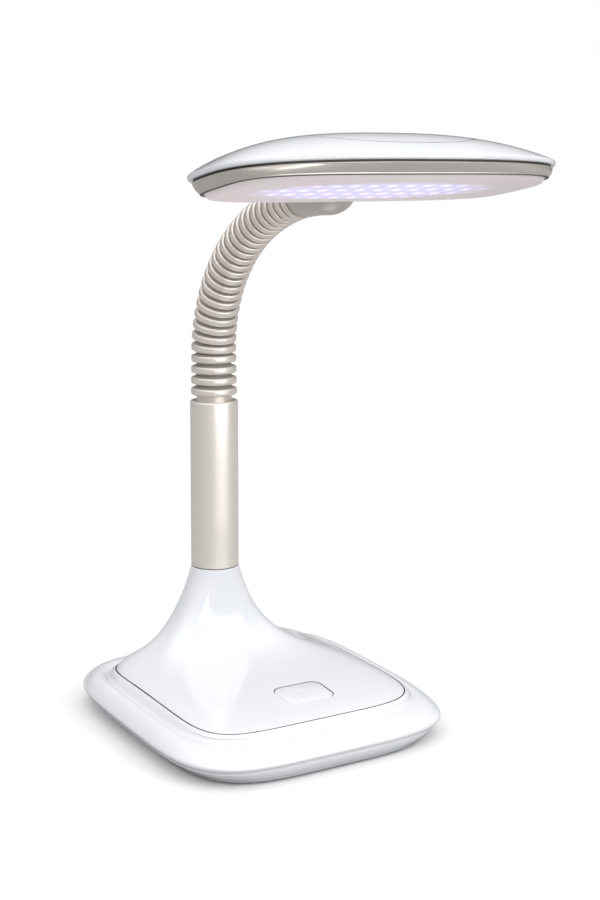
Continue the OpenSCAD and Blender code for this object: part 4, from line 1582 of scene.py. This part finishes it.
# Half sections along the neck: (radius, height above the last joint)
FERRULE_TOP = 12.85
FERRULE_SOCKET = 8.65
FERRULE_BORE = 6.0
FERRULE = (
    (FERRULE_BORE, SOCKET_FLOOR),
    (FERRULE_SOCKET, SOCKET_FLOOR),
    (FERRULE_SOCKET, -2.2),
    (10.6, -2.2),
    (11.1, -2.05),
    (11.4, -1.6),
    (11.65, 4.0),
    (11.95, 10.0),
    (12.1, 12.2),
    (12.0, 12.6),
    (11.8, FERRULE_TOP),
    (FERRULE_BORE, FERRULE_TOP),
)
BOAT = (
    (11.8, FERRULE_TOP),
    (12.0, 13.1),
    (12.1, 13.5),
    (12.5, 16.0),
    (13.0, 19.8),
    (13.45, 23.5),
    (13.68, 26.5),
    (13.65, 28.5),
    (13.45, 30.2),
    (13.0, 32.2),
    (12.3, 34.3),
    (11.3, 36.6),
    (9.9, 39.2),
    (8.0, 41.2),
    (5.0, 42.8),
    (1.5, 43.7),
)
# Seat of the knuckle against the head: play, insets from lens tray and lip (side, ahead, rise), dome rings
SEAT_PLAY = 0.15
SEAT_TRAY = (3.5, 4.6)
SEAT_EDGE = (2.1, 1.7, -0.3)
SEAT_BEZEL_RISE = 0.1
SEAT_GAP = (1.9, 1.1, 0.0)
SEAT_DOME = (0.95, 0.85, 0.7)


class LAMP_OT_knuckle(bpy.types.Operator):
    """End ring of the neck and the boat-shaped knuckle below the head"""

    bl_idname = "lamp.make_knuckle"
    bl_label = "Ferrule and knuckle"

    def execute(self, context):
        place = link_place(len(neck_joints()[0]) - 1)
        ring = loft("neck_end_ring", circles(FERRULE), closed=True, place=place)
        dress(ring, bezel_finish(), "head", "neck_ferrule")
        knuckle = loft("knuckle_boat", circles(BOAT), place=place)
        cut(knuckle, head_envelope(SEAT_PLAY))
        smooth(knuckle)
        dress(knuckle, bezel_finish(), "head", "head_knuckle")
        return {"FINISHED"}


def head_envelope(grow):
    """Outside of the head, grown a little, to seat the knuckle against."""
    head = bpy.context.scene.lamp_head
    half = [size + grow for size in head_sizes()]
    tray = [size + grow for size in lens_sizes()]
    gap = head.gap_height / 2.0
    low = bezel_low() - grow
    rings = inset_rings(tray, BEZEL_N, low, [(*SEAT_TRAY, -head.lens_drop), SEAT_EDGE])
    rings += inset_rings(half, BEZEL_N, low, [(*BEZEL_FALL, SEAT_BEZEL_RISE)])
    rings += inset_rings(half, HEAD_N, -gap - grow, [SEAT_GAP])
    rings += [outline(*half, HEAD_N, z) for z in (gap, head.lip_height)]
    rings += [dome_ring(k, -grow, grow) for k in SEAT_DOME]
    return loft("head_outside", rings, place=head_place())


class LAMP_OT_inner(bpy.types.Operator):
    """Finishes of the pieces that keep their own solids"""

    bl_idname = "lamp.finish_inner"
    bl_label = "Inner pieces"

    def execute(self, context):
        for node, (name, colour, grain, depth, gloss, metallic) in INNER_FINISHES.items():
            finish_mesh(frame["nodes"][node], moulded(name, colour, grain, depth, gloss, metallic=metallic))
        finish_mesh(frame["nodes"]["neck_collar"], sleeve_finish())
        return {"FINISHED"}


# Stage

FRONT_SOFTBOX = {"place": (0.55, -1.02, 0.6), "target": (0.0, 0.05, 0.42), "size": (0.46, 1.15)}
LEFT_STRIP = {"place": (-0.95, -0.85, 0.75), "target": (0.0, 0.05, 0.1), "size": (0.16, 0.8)}
LOW_CARD = {"place": (0.05, -1.35, 0.35), "target": (0.0, 0.05, 0.2), "size": (1.1, 0.6)}
FLOOR_SIZE = 30.0
FLOOR_TONE = 0.96
FLOOR_GRAIN = {"To Min": 0.975, "To Max": 0.985}
CAMERA_FAR = 60.0
WHITE = (1.0, 1.0, 1.0, 1.0)


def light(name, power, place, target, size):
    """Rectangular softbox that looks at a point."""
    data = bpy.data.lights.new(name, "AREA")
    data.shape = "RECTANGLE"
    data.size, data.size_y = size
    data.energy = power
    lamp = bpy.data.objects.new(name, data)
    bpy.context.scene.collection.objects.link(lamp)
    lamp.location = place
    lamp.rotation_euler = (Vector(target) - Vector(place)).to_track_quat("-Z", "Y").to_euler()
    return lamp


def floor_finish(settings):
    """Pale floor: it keeps the shadow near the lamp, runs out into plain white for the camera further off,
    throws less light back up than it shows, and is clear from below."""
    material, tree, shader = new_finish("Pale floor")
    tones = {"To Min": settings.floor_bounce, "To Max": FLOOR_TONE}
    edges = {"From Min": settings.floor_near, "From Max": settings.floor_far}
    coords = add_node(tree, "ShaderNodeTexCoord", (-1100, 0))
    grain = add_node(tree, "ShaderNodeTexNoise", (-850, 0), {"Scale": 40.0})
    shade = add_node(tree, "ShaderNodeMapRange", (-600, 0), FLOOR_GRAIN)
    path = add_node(tree, "ShaderNodeLightPath", (-850, 500))
    tone = add_node(tree, "ShaderNodeMapRange", (-600, 300), tones)
    colour = add_node(tree, "ShaderNodeMath", (-350, 100), operation="MULTIPLY")
    far = add_node(tree, "ShaderNodeVectorMath", (-850, -300), operation="LENGTH")
    fade = add_node(tree, "ShaderNodeMapRange", (-600, -300), edges, interpolation_type="SMOOTHSTEP")
    seen = add_node(tree, "ShaderNodeMath", (-350, -200), operation="MULTIPLY")
    white = add_node(tree, "ShaderNodeEmission", (0, -300))
    blend = add_node(tree, "ShaderNodeMixShader", (300, 0))
    under = add_node(tree, "ShaderNodeNewGeometry", (300, 300))
    clear = add_node(tree, "ShaderNodeBsdfTransparent", (300, -200))
    both = add_node(tree, "ShaderNodeMixShader", (550, 0))
    wire(
        tree,
        (coords, "Object", grain, "Vector"),
        (grain, "Fac", shade, "Value"),
        (path, "Is Camera Ray", tone, "Value"),
        (shade, "Result", colour, 0),
        (tone, "Result", colour, 1),
        (colour, "Value", shader, "Base Color"),
        (coords, "Object", far, 0),
        (far, "Value", fade, "Value"),
        (fade, "Result", seen, 0),
        (path, "Is Camera Ray", seen, 1),
        (seen, "Value", blend, "Fac"),
        (shader, "BSDF", blend, 1),
        (white, "Emission", blend, 2),
        (under, "Backfacing", both, "Fac"),
        (blend, "Shader", both, 1),
        (clear, "BSDF", both, 2),
        (both, "Shader", tree.nodes["Material Output"], "Surface"),
    )
    shader.inputs["Roughness"].default_value = 0.9
    shader.inputs["Specular IOR Level"].default_value = 0.1
    return material


def studio_world(settings):
    """Studio sky: plain white to the camera, for the rest a soft sky that is brightest towards one side."""
    world = bpy.data.worlds.new("Studio sky")
    world.use_nodes = True
    tree = world.node_tree
    tree.nodes.clear()
    towards = {1: Vector(settings.sky_aim).normalized()}
    levels = {"To Min": settings.sky_low, "To Max": settings.sky_high}
    coords = add_node(tree, "ShaderNodeTexCoord", (-900, 0))
    aim = add_node(tree, "ShaderNodeVectorMath", (-700, 0), towards, operation="DOT_PRODUCT")
    fade = add_node(tree, "ShaderNodeMapRange", (-500, 0), {"From Min": -1.0})
    curve = add_node(tree, "ShaderNodeMath", (-500, -200), {1: settings.sky_fall}, operation="POWER")
    level = add_node(tree, "ShaderNodeMapRange", (-350, 0), levels)
    soft = add_node(tree, "ShaderNodeBackground", (-200, 0), {"Color": WHITE})
    white = add_node(tree, "ShaderNodeBackground", (-200, -200), {"Color": WHITE})
    path = add_node(tree, "ShaderNodeLightPath", (-500, 400))
    blend = add_node(tree, "ShaderNodeMixShader", (100, 0))
    out = add_node(tree, "ShaderNodeOutputWorld", (300, 0))
    wire(
        tree,
        (coords, "Generated", aim, 0),
        (aim, "Value", fade, "Value"),
        (fade, "Result", curve, 0),
        (curve, "Value", level, "Value"),
        (level, "Result", soft, "Strength"),
        (path, "Is Camera Ray", blend, "Fac"),
        (soft, "Background", blend, 1),
        (white, "Background", blend, 2),
        (blend, "Shader", out, "Surface"),
    )
    bpy.context.scene.world = world


class LAMP_OT_stage(bpy.types.Operator):
    """Floor, sky, softboxes and camera"""

    bl_idname = "lamp.make_stage"
    bl_label = "Stage"

    def execute(self, context):
        settings = context.scene.lamp_stage
        bpy.ops.object.select_all(action="DESELECT")
        bpy.ops.mesh.primitive_plane_add(size=FLOOR_SIZE, location=(0.0, 0.0, 0.0))
        floor = context.active_object
        floor.name = "floor"
        floor.data.materials.append(floor_finish(settings))
        studio_world(settings)
        light("front_softbox", settings.key_power, **FRONT_SOFTBOX)
        light("left_strip", settings.side_power, **LEFT_STRIP)
        card = light("low_card", settings.front_power, **LOW_CARD)
        card.visible_diffuse = False
        camera_data = bpy.data.cameras.new("camera")
        camera_data.lens = settings.camera_lens
        camera_data.shift_y = settings.camera_shift
        camera_data.clip_end = CAMERA_FAR
        camera = bpy.data.objects.new("camera", camera_data)
        context.scene.collection.objects.link(camera)
        a, e = settings.camera_azimuth, settings.camera_elevation
        back = Vector((math.sin(a) * math.cos(e), -math.cos(a) * math.cos(e), math.sin(e)))
        right = Vector((math.cos(a), math.sin(a), 0.0))
        up = back.cross(right)
        turn = Matrix((right, up, back)).transposed().to_4x4()
        camera.matrix_world = Matrix.Translation(settings.camera_place) @ turn
        context.scene.camera = camera
        context.scene.view_settings.view_transform = "Standard"
        return {"FINISHED"}


class LAMP_PT_sidebar(bpy.types.Panel):
    """Buttons for each group of pieces"""

    bl_idname = "LAMP_PT_sidebar"
    bl_label = "Desk lamp"
    bl_space_type = "VIEW_3D"
    bl_region_type = "UI"
    bl_category = "Lamp"

    def draw(self, context):
        for operator in OPERATORS:
            self.layout.operator(operator.bl_idname)


SETTINGS = {
    "lamp_base": LampBaseSettings,
    "lamp_neck": LampNeckSettings,
    "lamp_head": LampHeadSettings,
    "lamp_finish": LampFinishSettings,
    "lamp_stage": LampStageSettings,
}
OPERATORS = (
    LAMP_OT_pan,
    LAMP_OT_rim,
    LAMP_OT_cover,
    LAMP_OT_button,
    LAMP_OT_column,
    LAMP_OT_neck,
    LAMP_OT_knuckle,
    LAMP_OT_shell,
    LAMP_OT_inlay,
    LAMP_OT_bezel,
    LAMP_OT_lens,
    LAMP_OT_inner,
    LAMP_OT_stage,
)


def register():
    """Registers the settings, operators and panel."""
    for name, group in SETTINGS.items():
        bpy.utils.register_class(group)
        setattr(bpy.types.Scene, name, PointerProperty(type=group))
    for operator in OPERATORS:
        bpy.utils.register_class(operator)
    bpy.utils.register_class(LAMP_PT_sidebar)


def unregister():
    """Takes the panel, operators and settings away again."""
    bpy.utils.unregister_class(LAMP_PT_sidebar)
    for operator in reversed(OPERATORS):
        bpy.utils.unregister_class(operator)
    for name, group in SETTINGS.items():
        delattr(bpy.types.Scene, name)
        bpy.utils.unregister_class(group)


def main():
    """Builds every piece in order."""
    register()
    bpy.ops.lamp.make_pan()
    bpy.ops.lamp.make_rim()
    bpy.ops.lamp.make_cover()
    bpy.ops.lamp.make_button()
    bpy.ops.lamp.make_column()
    bpy.ops.lamp.make_neck()
    bpy.ops.lamp.make_knuckle()
    bpy.ops.lamp.make_shell()
    bpy.ops.lamp.make_inlay()
    bpy.ops.lamp.make_bezel()
    bpy.ops.lamp.make_lens()
    bpy.ops.lamp.finish_inner()
    bpy.ops.lamp.make_stage()


if __name__ == "__main__":
    main()
